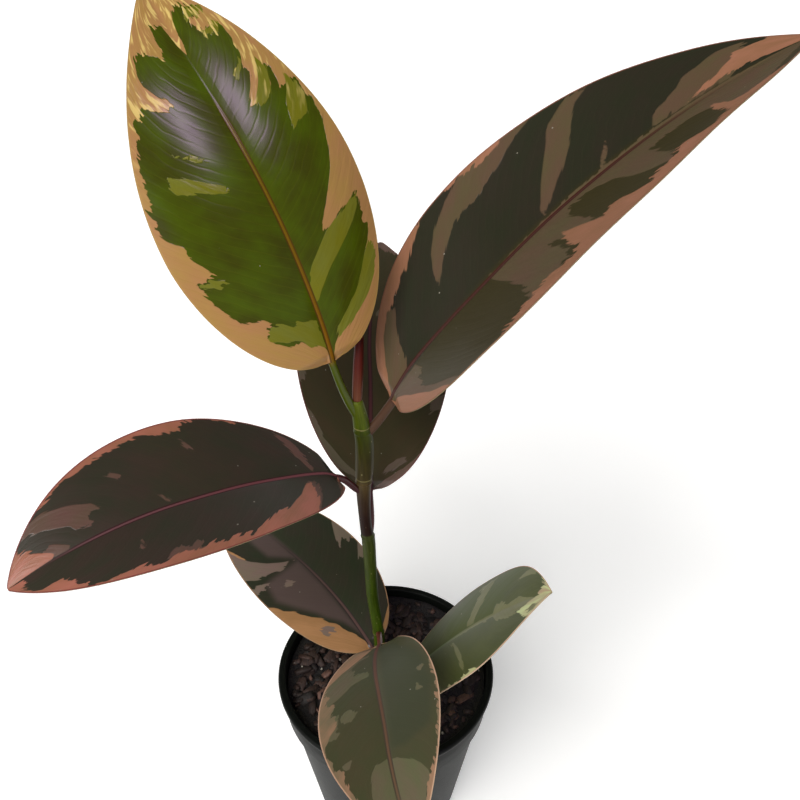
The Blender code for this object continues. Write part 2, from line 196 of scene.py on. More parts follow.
def curveThrough(rows, at):
    # values at places on the smooth curve through rows of a place and its values
    rows, at = np.array(rows, float), np.atleast_1d(np.asarray(at, float))
    k = np.clip(np.searchsorted(rows[:, 0], at, side="left") - 1, 0, len(rows) - 2)
    before, after = rows[np.maximum(k - 1, 0)], rows[np.minimum(k + 2, len(rows) - 1)]
    start, end = rows[k], rows[k + 1]
    span = (end[:, 0] - start[:, 0])[:, None]
    t = (at[:, None] - start[:, :1]) / span
    slopeIn = (end - before)[:, 1:] / (end - before)[:, :1] * span
    slopeOut = (after - start)[:, 1:] / (after - start)[:, :1] * span
    value = (2 * t ** 3 - 3 * t ** 2 + 1) * start[:, 1:] + (t ** 3 - 2 * t ** 2 + t) * slopeIn
    return value + (3 * t ** 2 - 2 * t ** 3) * end[:, 1:] + (t ** 3 - t ** 2) * slopeOut


def stemAt(z):
    # centre and diameter at heights in mm
    z = np.atleast_1d(np.asarray(z, float))
    value = curveThrough(stemSize["stations"], z)
    return np.column_stack([value[:, :2], z]), value[:, 2]


# Leaves, in mm and degrees. The first lines of each are the part's own sizes. Outlines of the coloured
# zones are (across, along) corners: across is -1 at the left margin and 1 at the right one, and along runs
# from 0 at the stalk to 1 at the tip.
# The sheen zones of each leaf are painted sheen and shade: one half of the fold takes its own tone for the
# light that half catches.
leaves = {
    "top": dict(
        base=(-18.1, 1.0, 275.6), heading=145, rise=69, arch=-24, sweep=0, roll=20, twist=1, fold=6, curl=-20,
        length=145.5, left=42.5, right=39.8, widest=.40, basePower=1.8, tipPower=2.1, tipBend=.98,
        node=246.0, leave=186, climb=60, foot=4.0, end=3.0, seed=3,
        main="435104", mainDeep="3a3d04", light="6c6a14", lightSoft="6c6d25", pale="a48046", paleWarm="a7794e",
        rib="784e04", ribTip="5a5a10", stalk="3e480a", under="8f9a58", rim="a98850", ribWidth=.5, lightOnTop=1,
        specks=.02, edge=.16, foldSheen="584a52", foldSheenStrength=.0,
        # glint tone, and where along the leaf it begins and is full: painted glints on the pucker crests
        roughness=.15, gloss=.28, veins=.12, ribEdge="4a3208", ribFade=(.6, .72), glintRidges=("dcc074", .58, .74),
        ribPath=[(0, 0), (.1, .9), (.3, 1.1), (.45, .8), (.6, .1), (.75, -.9), (.9, -1.5), (1, 0)],
        foldSheenZones=[[(-1, 1.5), (0, 1.5), (0, 1.6)]],
        paleZones=[
            [(-1.3, -.1), (-.3, -.05), (-.06, 0), (-.05, .035), (-.11, .06), (-.31, .066), (-.36, .087),
             (-.56, .092), (-.66, .11), (-.7, .14), (-.6, .155), (-.5, .16), (-.58, .178), (-.68, .185),
             (-.78, .195), (-.815, .22), (-.83, .254), (-.85, .283), (-.88, .32), (-.73, .33), (-.765, .36),
             (-.815, .386), (-.78, .41), (-.866, .43), (-.916, .45), (-.95, .47), (-.933, .5), (-.95, .54),
             (-.916, .568), (-.94, .6), (-.916, .637), (-.94, .666), (-.88, .696), (-.916, .715), (-.8, .733),
             (-.7, .727), (-.53, .712), (-.47, .722), (-.5, .735), (-.63, .757), (-.76, .783), (-.83, .81),
             (-.86, .83), (-.85, .85), (-.63, .846), (-.5, .83), (-.38, .823), (-.38, .843), (-.446, .877),
             (-.463, .892), (-.33, .899), (-.195, .892), (-.134, .862), (-.094, .838), (-.03, .81),
             (.013, .838), (.04, .862), (.107, .892), (.24, .914), (.443, .925), (.678, .912), (.98, .902),
             (1.3, .9), (1.3, 1.2), (-1.3, 1.2)],
            [(1.3, .895), (.95, .9), (.7, .887), (.5, .887), (.4, .876), (.38, .86), (.5, .845), (.62, .848),
             (.78, .862), (.8, .84), (.76, .823), (.73, .804), (.66, .789), (.62, .764), (.57, .75),
             (.5, .735), (.53, .715), (.46, .695), (.38, .676), (.31, .656), (.39, .651), (.54, .666),
             (.66, .68), (.72, .7), (.78, .73), (.82, .735), (.8, .7), (.74, .665), (.81, .656), (.93, .676),
             (.96, .66), (.95, .607), (.93, .568), (.88, .54), (.81, .5), (.68, .44), (.51, .37), (.41, .333),
             (.4, .318), (.55, .33), (.745, .355), (.86, .37), (.872, .347), (.83, .323), (.93, .293),
             (.9, .264), (.83, .23), (.856, .215), (.795, .195), (.71, .18), (.678, .15), (.56, .117),
             (.41, .09), (.275, .06), (.174, .04), (.06, 0), (.3, -.05), (1.3, -.1)]],
        lightZones=[
            [(-.7, .12), (-.6, .11), (-.5, .1), (-.34, .085), (-.3, .06), (-.16, .055), (-.04, .04),
             (-.02, .12), (-.2, .13), (-.35, .13), (-.42, .148), (-.55, .152), (-.66, .14)],
            [(.03, .16), (.06, .21), (.12, .245), (.25, .275), (.42, .315), (.6, .335), (.86, .37),
             (.84, .34), (.74, .31), (.55, .27), (.38, .235), (.22, .195), (.1, .165)],
            [(.28, .08), (.45, .11), (.6, .14), (.71, .18), (.8, .225), (.88, .25), (.94, .22), (.93, .17),
             (.84, .13), (.68, .095), (.45, .065), (.24, .05)],
            [(-.75, .555), (-.72, .575), (-.6, .56), (-.42, .53), (-.28, .505), (-.24, .487), (-.4, .5),
             (-.6, .525), (-.7, .535)],
            [(-.9, .318), (-.74, .295), (-.6, .3), (-.75, .32)],
            [(-.62, .615), (-.45, .585), (-.3, .57), (-.45, .6)],
            [(.56, .56), (.64, .62), (.75, .645), (.9, .69), (.93, .63), (.8, .585), (.66, .575)],
            [(.34, .63), (.4, .66), (.58, .7), (.74, .75), (.78, .72), (.6, .66), (.45, .64)],
            [(.36, .885), (.5, .905), (.72, .908), (.95, .9), (.9, .888), (.7, .885), (.5, .88)],
            [(.36, .85), (.5, .832), (.65, .828), (.82, .85), (.76, .862), (.62, .848), (.5, .846)],
            [(.32, .725), (.42, .74), (.56, .755), (.5, .735), (.4, .722)]]),
    "right": dict(
        base=(3.2, 6.8, 254.5), heading=14, rise=56, arch=-36, sweep=-1, roll=-7, twist=4, fold=11, curl=10,
        length=202, left=44.6, right=44.2, widest=.32, basePower=1.9, tipPower=2.3, tipBend=.96,
        node=238.5, leave=12, climb=38, foot=4.4, end=3.5, seed=11,
        main="26271a", mainDeep="29251b", light="514730", lightSoft="564333", pale="865e44", paleWarm="93654e",
        rib="422520", ribTip="3c2a22", stalk="463022", under="7d8256", rim="7c5040", ribWidth=.4, lightOnTop=0,
        specks=.12, edge=.4, foldSheen="332d14", foldSheenStrength=1.0,
        roughness=.3, gloss=.18, veins=.04, ribEdge="3a1812", ribFade=(.55, .9),
        ribPath=[(0, 0), (.08, -1.8), (.2, 0), (.3, 1.6), (.45, 2.2), (.6, 2.7), (.8, 2.2), (1, 0)],
        foldSheenZones=[
            [(.0, -.1), (.02, 1.1), (1.3, 1.1), (1.3, -.1)]],
        paleZones=[
            [(-1.3, .28), (-.96, .275), (-.9, .24), (-.83, .2), (-.81, .15), (-.84, .11), (-.8, .07),
             (-.6, .035), (-.3, .014), (-.2, -.02), (-1.3, -.1)],
            [(-1.3, .5), (-.97, .49), (-.92, .46), (-.94, .42), (-.97, .36), (-1.3, .34)],
            [(-1.3, .95), (-.8, .93), (-.62, .895), (-.58, .875), (-.42, .868), (-.3, .845), (-.2, .83),
             (-.12, .8), (-.02, .765), (-.05, .81), (-.12, .85), (-.1, .9), (-.06, .94), (0, 1.0), (-.1, 1.2),
             (-1.3, 1.2)],
            [(1.3, .93), (.93, .9), (.85, .86), (.83, .82), (.7, .797), (.5, .785), (.35, .774), (.6, .772),
             (.8, .775), (.87, .76), (.89, .74), (.84, .72), (.76, .7), (.7, .685), (.78, .67), (.85, .65),
             (.79, .63), (.83, .615), (.86, .6), (.78, .575), (.7, .56), (.68, .54), (.72, .52), (.66, .505),
             (.56, .49), (.42, .458), (.56, .45), (.74, .458), (.85, .45), (.86, .42), (.8, .39), (.85, .35),
             (.91, .31), (.96, .28), (1.3, .24)],
            [(.3, .02), (.42, .04), (.55, .055), (.65, .075), (.8, .1), (.92, .14), (1.3, .18), (1.3, -.1),
             (.2, -.03)]],
        lightZones=[
            [(0, .455), (-.15, .5), (-.3, .54), (-.45, .573), (-.7, .605), (-.86, .63), (-1.0, .67),
             (-.97, .62), (-.8, .57), (-.6, .54), (-.45, .515), (-.3, .49), (-.1, .46)],
            [(-.38, .228), (-.48, .26), (-.6, .3), (-.65, .33), (-.68, .36), (-.68, .4), (-.75, .45),
             (-.88, .5), (-1.0, .56), (-1.0, .4), (-.9, .34), (-.78, .29), (-.65, .255), (-.5, .232)],
            [(0, .69), (-.14, .705), (-.24, .74), (-.32, .765), (-.45, .785), (-.58, .825), (-.75, .86),
             (-.85, .9), (-.6, .9), (-.3, .88), (-.1, .86), (0, .84)],
            [(.02, .31), (.15, .315), (.35, .335), (.6, .352), (.8, .35), (.92, .34), (.9, .39), (.82, .43),
             (.68, .445), (.55, .44), (.45, .425), (.4, .44), (.55, .455), (.75, .49), (.7, .51), (.45, .5),
             (.25, .485), (.15, .5), (.2, .55), (.3, .58), (.5, .6), (.7, .63), (.85, .66), (.7, .67),
             (.45, .66), (.3, .65), (.28, .7), (.4, .76), (.6, .79), (.85, .8), (.9, .86), (.8, .9),
             (.6, .95), (.3, 1.02), (.02, 1.02)],
            [(-.85, .12), (-.75, .135), (-.62, .11), (-.45, .09), (-.2, .08), (-.02, .06), (-.02, -.05),
             (-.4, 0), (-.9, .05)],
            [(.02, .09), (.2, .1), (.35, .09), (.6, .09), (.75, .12), (.85, .15), (1.1, .2), (1.1, 0),
             (0, -.05)],
            [(-.27, .626), (-.12, .612), (0, .588), (0, .58), (-.12, .598)]]),
    "left": dict(
        base=(-19.0, -3.7, 223.7), heading=213, rise=24, arch=-44, sweep=3, roll=3, twist=8, fold=11, curl=2,
        length=130, left=34.4, right=35.1, widest=.45, basePower=1.8, tipPower=2.3, tipBend=.90,
        node=209.0, leave=208, climb=34, foot=3.3, end=2.8, seed=23,
        main="312f23", mainDeep="382d25", light="5a4639", lightSoft="60433c", pale="936049", paleWarm="a76756",
        rib="71353b", ribTip="5e4648", stalk="3c1418", under="7c7a50", rim="7a3434", ribWidth=.62, lightOnTop=0,
        specks=.45, edge=.25, foldSheen="584a52", foldSheenStrength=.0,
        roughness=.28, gloss=.45, veins=.04, ribEdge="34181a", ribFade=(.75, .95),
        ribPath=[(0, 0), (.05, 1.0), (.2, -.3), (.3, -.9), (.45, -1.6), (.6, -1.3), (.8, -.8), (1, 0)],
        foldSheenZones=[[(-1, 1.5), (0, 1.5), (0, 1.6)]],
        paleZones=[
            [(-1.3, .43), (-.97, .42), (-.86, .39), (-.78, .34), (-.68, .3), (-.71, .26), (-.6, .225),
             (-.5, .19), (-.36, .16), (-.2, .13), (-.38, .13), (-.6, .14), (-.85, .165), (-1.0, .19),
             (-1.3, .2)],
            [(-1.3, .06), (-.95, .045), (-.8, .02), (-.5, .005), (-.1, -.02), (-1.3, -.1)],
            [(-1.3, .83), (-.96, .81), (-.92, .76), (-.87, .7), (-.88, .64), (-.82, .6), (-.88, .56),
             (-.85, .5), (-.86, .45), (-.9, .41), (-1.3, .38)],
            [(-1.3, .82), (-.95, .83), (-.8, .85), (-.62, .872), (-.7, .9), (-.86, .925), (-.9, .95),
             (-.75, .965), (-.4, .96), (-.1, .955), (0, 1.2), (-1.3, 1.2)],
            [(0, .875), (.08, .862), (.2, .88), (.45, .91), (.75, .928), (.98, .94), (1.3, .95), (1.3, 1.2),
             (0, 1.2)],
            [(1.3, .9), (.98, .87), (.96, .84), (.94, .8), (.95, .76), (.91, .72), (.92, .68), (.9, .64),
             (.92, .6), (.94, .56), (.9, .53), (.86, .49), (.85, .45), (.9, .43), (.97, .4), (1.3, .38)],
            [(1.3, .34), (.97, .33), (.96, .28), (1.3, .26)]],
        lightZones=[
            [(.18, .765), (.22, .79), (.34, .805), (.5, .845), (.72, .885), (.95, .915), (1.0, .89),
             (.88, .85), (.72, .815), (.55, .765), (.42, .728), (.3, .716), (.32, .735)],
            [(.1, .08), (.3, .1), (.55, .118), (.8, .145), (.95, .15), (.88, .105), (.6, .085), (.3, .076)],
            [(-1.0, .64), (-.82, .62), (-.7, .6), (-.8, .57), (-.68, .535), (-.85, .54), (-1.0, .5)],
            [(-1.1, .2), (-.7, .13), (-.4, .1), (-.15, .12), (-.3, .145), (-.8, .18)],
            [(-1.1, .08), (-.8, .05), (-.4, .02), (-.2, -.02), (-1.1, -.05)],
            [(-.6, .68), (-.42, .665), (-.42, .655), (-.58, .668)],
            [(.52, .64), (.66, .67), (.68, .655), (.56, .635)],
            [(.58, .435), (.72, .452), (.74, .44), (.6, .425)],
            [(.02, .55), (.14, .565), (.14, .556), (.02, .54)],
            [(-.02, .83), (.05, .82), (.3, .865), (.2, .88), (.02, .87)]]),
    "back": dict(
        base=(-5.9, 11.7, 203.0), heading=92, rise=26, arch=-20, sweep=-6, roll=-14, twist=2, fold=13, curl=-8,
        length=161.5, left=38.4, right=38.1, widest=.42, basePower=1.5, tipPower=2.0, tipBend=1.0,
        node=182.5, leave=46, climb=62, foot=3.2, end=2.8, seed=31,
        main="37331e", mainDeep="3c321f", light="57523f", lightSoft="5d4e43", pale="5f4c3f", paleWarm="695249",
        rib="4e282c", ribTip="4a2a2c", stalk="4a1a1c", under="767a50", rim="642c30", ribWidth=.6, lightOnTop=0,
        specks=.3, edge=.25, foldSheen="584a52", foldSheenStrength=.0,
        roughness=.3, gloss=.45, veins=.04, ribEdge="30161a", ribFade=(.6, .9),
        ribPath=[(0, 0), (.25, .1), (.35, -.3), (.5, -1.5), (.7, -1.4), (1, 0)],
        foldSheenZones=[[(-1, 1.5), (0, 1.5), (0, 1.6)]],
        paleZones=[
            [(1.3, .14), (.985, .12), (.93, .085), (.82, .058), (.6, .03), (.4, .014), (.2, 0), (.1, -.03),
             (1.3, -.1)],
            [(1.3, .5), (.97, .48), (.95, .44), (.97, .38), (1.3, .36)],
            [(-1.3, .62), (-.96, .6), (-.93, .55), (-.96, .5), (-1.3, .48)],
            [(-1.3, .9), (-.8, .9), (-.5, .95), (-.1, .965), (.2, .95), (.7, .93), (1.3, .9), (1.3, 1.2),
             (-1.3, 1.2)]],
        lightZones=[
            [(.35, .04), (.42, .07), (.55, .085), (.72, .1), (.8, .08), (.6, .055)],
            [(-1.1, .24), (-.93, .2), (-.86, .17), (-.9, .13), (-.8, .1), (-.7, .07), (-.55, .05),
             (-.3, .035), (-.5, .02), (-1.1, .05)],
            [(-1.0, .34), (-.9, .33), (-.88, .3), (-1.0, .29)],
            [(.05, .6), (.3, .66), (.6, .72), (.75, .77), (.6, .76), (.35, .71), (.08, .64)],
            [(-.1, .45), (-.4, .5), (-.7, .56), (-.8, .6), (-.55, .57), (-.3, .52)],
            [(.9, .3), (.8, .27), (.85, .24), (1.1, .26), (1.1, .32)]]),
    "lower_left": dict(
        base=(-6.9, 3.0, 105.9), heading=130, rise=23, arch=-39, sweep=10, roll=0, twist=0, fold=9, curl=-13,
        length=129.5, left=32.1, right=31.6, widest=.43, basePower=2.0, tipPower=2.0, tipBend=.95,
        node=96.5, leave=150, climb=45, foot=3.0, end=2.4, seed=43,
        main="2f3524", mainDeep="363227", light="7d725f", lightSoft="856d65", pale="a97d51", paleWarm="b8885c",
        rib="664c48", ribTip="483c38", stalk="5a2a26", under="808455", rim="b28a68", ribWidth=.55, lightOnTop=1,
        specks=.1, edge=.2, foldSheen="5e4e4a", foldSheenStrength=.95,
        roughness=.28, gloss=.45, veins=.05, ribEdge="342c2c", ribFade=(.3, .7),
        ribPath=[(0, 0), (.2, .8), (.4, .2), (.6, -.9), (.8, -.9), (1, 0)],
        foldSheenZones=[
            [(-.02, .05), (-.03, .47), (-.35, .46), (-.75, .45), (-.82, .36), (-.66, .29),
             (-.5, .235), (-.4, .19), (-.2, .14)],
            [(-.02, .48), (-.02, .72), (-.5, .74), (-.4, .56)]],
        paleZones=[
            [(-1.3, .38), (-.99, .365), (-.92, .34), (-.86, .31), (-.74, .285), (-.68, .25), (-.6, .225),
             (-.48, .2), (-.44, .17), (-.3, .14), (-.28, .1), (-.2, .075), (-.12, .045), (-.06, .015),
             (-.1, -.05), (-1.3, -.1)],
            [(-1.3, .76), (-.97, .7), (-.88, .67), (-.8, .63), (-.72, .58), (-.84, .6), (-.96, .63),
             (-1.3, .62)],
            [(1.3, .56), (.99, .5), (1.01, .35), (1.01, .2), (.99, .1), (.7, .03), (.2, -.02), (1.3, -.1)],
            [(-1.3, .86), (-.8, .88), (-.5, .93), (0, .95), (.6, .92), (1.3, .9), (1.3, 1.2), (-1.3, 1.2)]],
        lightZones=[
            [(-1.0, .7), (-.84, .63), (-.7, .58), (-.5, .53), (-.3, .5), (-.08, .478), (-.3, .475),
             (-.6, .475), (-.85, .49), (-1.0, .52)],
            [(-.97, .47), (-.8, .46), (-.7, .45), (-.8, .44), (-.98, .43)],
            [(-.76, .145), (-.66, .165), (-.52, .16), (-.42, .14), (-.5, .128), (-.6, .14), (-.7, .128)],
            [(.66, .4), (.72, .44), (.78, .47), (.95, .53), (1.1, .56), (1.1, .44), (.9, .42), (.8, .44)],
            [(.78, .32), (.9, .36), (1.1, .42), (1.1, .34), (.92, .31)],
            [(-.62, .4), (-.45, .41), (-.3, .39), (-.45, .385)],
            [(.1, .7), (.4, .76), (.7, .83), (.5, .82), (.2, .75)]]),
    "front": dict(
        base=(-2.7, -15.4, 131.4), heading=-90, rise=22, arch=-30, sweep=17, roll=-23, twist=2, fold=9, curl=-1,
        length=108, left=26.1, right=27.8, widest=.42, basePower=2.0, tipPower=2.0, tipBend=1.06,
        node=120.5, leave=-84, climb=36, foot=3.0, end=2.4, seed=59,
        main="404229", mainDeep="45402a", light="595a3e", lightSoft="605642", pale="73654c", paleWarm="99745a",
        rib="583227", ribTip="64503a", stalk="6a3028", under="868a5a", rim="c09a80", ribWidth=.6, lightOnTop=0,
        specks=.4, edge=.2, foldSheen="373b27", foldSheenStrength=.8,
        roughness=.36, gloss=.45, veins=.05, ribEdge="42382c", ribFade=(.75, .95),
        ribPath=[(0, 0), (.08, 1.6), (.2, 1.8), (.35, .9), (.5, .4), (.65, .8), (.85, .8), (1, 0)],
        foldSheenZones=[
            [(-.04, .04), (-.04, .62), (-.3, .63), (-.8, .6), (-.9, .4), (-.88, .2), (-.5, .06)]],
        paleZones=[
            [(.12, -.02), (.3, .04), (.48, .075), (.62, .11), (.78, .15), (.9, .2), (.97, .26), (.9, .3),
             (.8, .33), (.77, .37), (.72, .41), (.74, .45), (.84, .48), (.93, .52), (.97, .58), (.93, .63),
             (.86, .67), (.88, .73), (.85, .79), (.9, .86), (.8, .9), (.5, .95), (0, .975), (0, 1.2),
             (1.3, 1.2), (1.3, -.1)],
            [(-1.3, .06), (-.97, .04), (-.8, .02), (-.4, 0), (-.15, -.03), (-1.3, -.1)],
            [(-1.3, .25), (-.985, .3), (-.955, .45), (-.965, .55), (-.95, .66), (-.93, .74), (-.83, .785),
             (-.8, .82), (-.82, .86), (-.7, .92), (-.3, .965), (0, .975), (0, 1.2), (-1.3, 1.2)]],
        lightZones=[
            [(.22, .19), (.4, .185), (.55, .165), (.62, .14), (.5, .1), (.3, .08), (.5, .08), (.8, .12),
             (1.0, .2), (1.0, .3), (.86, .33), (.75, .32), (.6, .28), (.5, .25), (.35, .235), (.22, .215)],
            [(.02, .655), (.12, .65), (.3, .66), (.42, .7), (.52, .745), (.6, .79), (.66, .85), (.5, 1.05),
             (-.5, 1.05), (-.7, .9), (-.88, .8), (-.8, .765), (-.62, .73), (-.4, .695), (-.2, .67),
             (-.05, .66)],
            [(.42, .4), (.48, .445), (.6, .44), (.66, .41), (.6, .39), (.5, .37)],
            [(.66, .47), (.74, .5), (.86, .5), (.82, .475)],
            [(.62, .61), (.7, .64), (.82, .65), (.8, .62)],
            [(.66, .38), (.7, .46), (.92, .5), (.98, .45), (.8, .4)],
            [(-.86, .32), (-.78, .35), (-.74, .33), (-.8, .3)],
            [(-.7, .41), (-.62, .43), (-.6, .41), (-.66, .39)]]),
    "lower_right": dict(
        base=(10.7, -7.7, 97.3), heading=-14, rise=61, arch=-17, sweep=-12, roll=1, twist=-5, fold=8, curl=-22,
        length=106.5, left=31.7, right=31.4, widest=.49, basePower=2.1, tipPower=2.6, tipBend=1.0,
        node=89.5, leave=-34, climb=18, foot=3.0, end=2.4, seed=67,
        main="3b4117", mainDeep="454a21", light="5e5e36", lightSoft="6c6c4a", pale="b8c189", paleWarm="a28b6d",
        rib="5a6644", ribTip="7a7c54", stalk="7a3a30", under="8c9164", rim="c09a84", ribWidth=.4, lightOnTop=1,
        specks=.1, edge=.25, foldSheen="3b4604", foldSheenStrength=.6,
        roughness=.5, gloss=.5, veins=.05, ribEdge="4c5a38", ribFade=(.2, .6),
        ribPath=[(0, 0), (1, 0)],
        foldSheenZones=[
            [(-.0, .35), (-.02, .72), (-.4, .72), (-.95, .8), (-.95, .4), (-.5, .3)]],
        paleZones=[
            [(-1.3, .93), (-.95, .94), (-.7, .95), (-.4, .945), (-.15, .925), (-.1, .93), (-.05, .94),
             (.02, .905), (.12, .88), (.2, .85), (.3, .835), (.42, .86), (.6, .885), (.8, .905), (1.0, .93),
             (1.3, .95), (1.3, 1.2), (-1.3, 1.2)],
            [(-1.3, .84), (-1.0, .83), (-.95, .85), (-1.3, .87)],
            [(1.3, .7), (.985, .68), (.96, .64), (.95, .6), (.97, .56), (.99, .5), (.99, .3), (.96, .15),
             (.7, .04), (.3, 0), (1.3, -.1)]],
        lightZones=[
            [(-.2, .68), (-.05, .67), (.1, .69), (.22, .72), (.3, .78), (.4, .83), (.3, .84), (.22, .86),
             (.12, .89), (.02, .92), (-.04, .9), (-.1, .86), (-.2, .82), (-.12, .76)],
            [(-1.1, .86), (-.9, .83), (-.75, .8), (-.6, .78), (-.72, .83), (-.85, .88), (-1.1, .9)],
            [(.12, .39), (.28, .45), (.45, .487), (.62, .53), (.8, .565), (.92, .6), (.75, .575), (.55, .54),
             (.35, .49), (.16, .43)],
            [(-.85, .5), (-.55, .52), (-.25, .5), (-.04, .49), (-.04, .54), (-.3, .56), (-.6, .58),
             (-.88, .6)],
            [(-.02, .35), (-.03, .7), (.06, .7), (.05, .5), (.03, .35)],
            [(.35, .92), (.5, .9), (.7, .92), (.9, .94), (.7, .95)]]),
}

# How every leaf is made, in mm: its own thickness is that of a real rubber plant leaf
blade = dict(thickness=0.8, marginRound=0.3, droopPower=1.3, tipHalfWidth=0.6, shoulder=4.0, rowStep=0.95,
             columnStep=1.15, stalkRows=26, ridge=0.1, groove=0.05, keelHalfWidth=1.7, keelEnd=0.97,
             wave=0.35, waveLengths=(19, 8.3), veinRise=0.55, veinLift=0.35, veinReach=2.5)


def bladeFrame(leaf, t):
    # along, right and up of the blade at fractions of its length
    along = direction(leaf["heading"] + leaf["sweep"] * t,
                      leaf["rise"] + leaf["arch"] * np.maximum(t, 0) ** blade["droopPower"])
    level = np.stack([along[:, 1], -along[:, 0], 0 * t], -1)
    level /= np.linalg.norm(level, axis=1)[:, None]
    upright = np.cross(level, along)
    roll = np.radians(leaf["roll"] + leaf["twist"] * t)[:, None]
    return along, np.cos(roll) * level + np.sin(roll) * upright, np.cos(roll) * upright - np.sin(roll) * level


def outlineShare(leaf, t):
    # half width at fractions of the length, 1 where the blade is widest
    w = leaf["widest"]
    lower = np.sqrt(np.maximum(0, 1 - np.clip(1 - t / w, 0, 1) ** leaf["basePower"]))
    upper = np.maximum(0, 1 - np.clip((t - w) / (1 - w), 0, 1) ** leaf["tipPower"]) ** leaf["tipBend"]
    return np.where(t < w, lower, upper)


def stalkRows(leaf):
    # centres, tangents and diameters from the stem's axis to the blade's foot
    along, _, up = bladeFrame(leaf, np.zeros(1))
    start = stemAt(leaf["node"])[0][0]
    end = np.array(leaf["base"]) - up[0] * leaf["end"] / 2
    reach = np.linalg.norm(end - start) / 3
    first = start + direction(np.float64(leaf["leave"]), np.float64(leaf["climb"])) * reach
    last = end - along[0] * reach
    share = np.linspace(0, 1, blade["stalkRows"] + 1)[:-1]
    t = share[:, None]
    centre = (1 - t) ** 3 * start + 3 * (1 - t) ** 2 * t * first + 3 * (1 - t) * t ** 2 * last + t ** 3 * end
    tangent = (1 - t) ** 2 * (first - start) + 2 * (1 - t) * t * (last - first) + t ** 2 * (end - last)
    tangent /= np.linalg.norm(tangent, axis=1)[:, None]
    width = leaf["foot"] + (leaf["end"] - leaf["foot"]) * share ** 0.6
    return centre, tangent, width, np.linalg.norm(end - centre, axis=1)


def columnShares(half):
    # shares of the half width from midrib to margin, close together at both
    centre = [0, 0.35, 0.7, 1.05, 1.45, 2.0, 2.8]
    margin = [half - 1.1, half - 0.6, half - 0.3, half - 0.13, half - 0.03, half]
    count = int((margin[0] - centre[-1]) / blade["columnStep"])
    middle = list(np.linspace(centre[-1], margin[0], count + 1))[1:-1]
    return np.array(centre + middle + margin) / half


def insideBy(corners, x, y):
    # distance in mm inside a closed outline, negative outside it
    nearest = np.full(x.shape, 1e9)
    inside = np.zeros(x.shape, bool)
    for (ax, ay), (bx, by) in zip(corners, corners[1:] + corners[:1]):
        dx, dy = bx - ax, by - ay
        h = np.clip(((x - ax) * dx + (y - ay) * dy) / (dx * dx + dy * dy + 1e-9), 0, 1)
        nearest = np.minimum(nearest, np.hypot(x - ax - h * dx, y - ay - h * dy))
        if ay != by:
            inside ^= ((ay > y) != (by > y)) & (x < ax + (y - ay) * dx / dy)
    return np.where(inside, nearest, -nearest)


def zoneField(leaf, outlines, x, y, rise):
    # distance inside the zones, and how fast it grows along the side veins, where the edges run ragged
    size = {1: leaf["right"], -1: leaf["left"]}
    scaled = []
    for outline in outlines:
        scaled.append([(s * size[1 if s > 0 else -1], t * leaf["length"]) for s, t in outline])
    reach = blade["veinReach"]
    stepX = np.where(x < 0, -1, 1) * reach / np.hypot(1, rise)
    stepY = reach * rise / np.hypot(1, rise)

    def field(u, v):
        return np.max([insideBy(corners, u, v) for corners in scaled], axis=0)

    return field(x, y), (field(x + stepX, y + stepY) - field(x - stepX, y - stepY)) / (2 * reach)


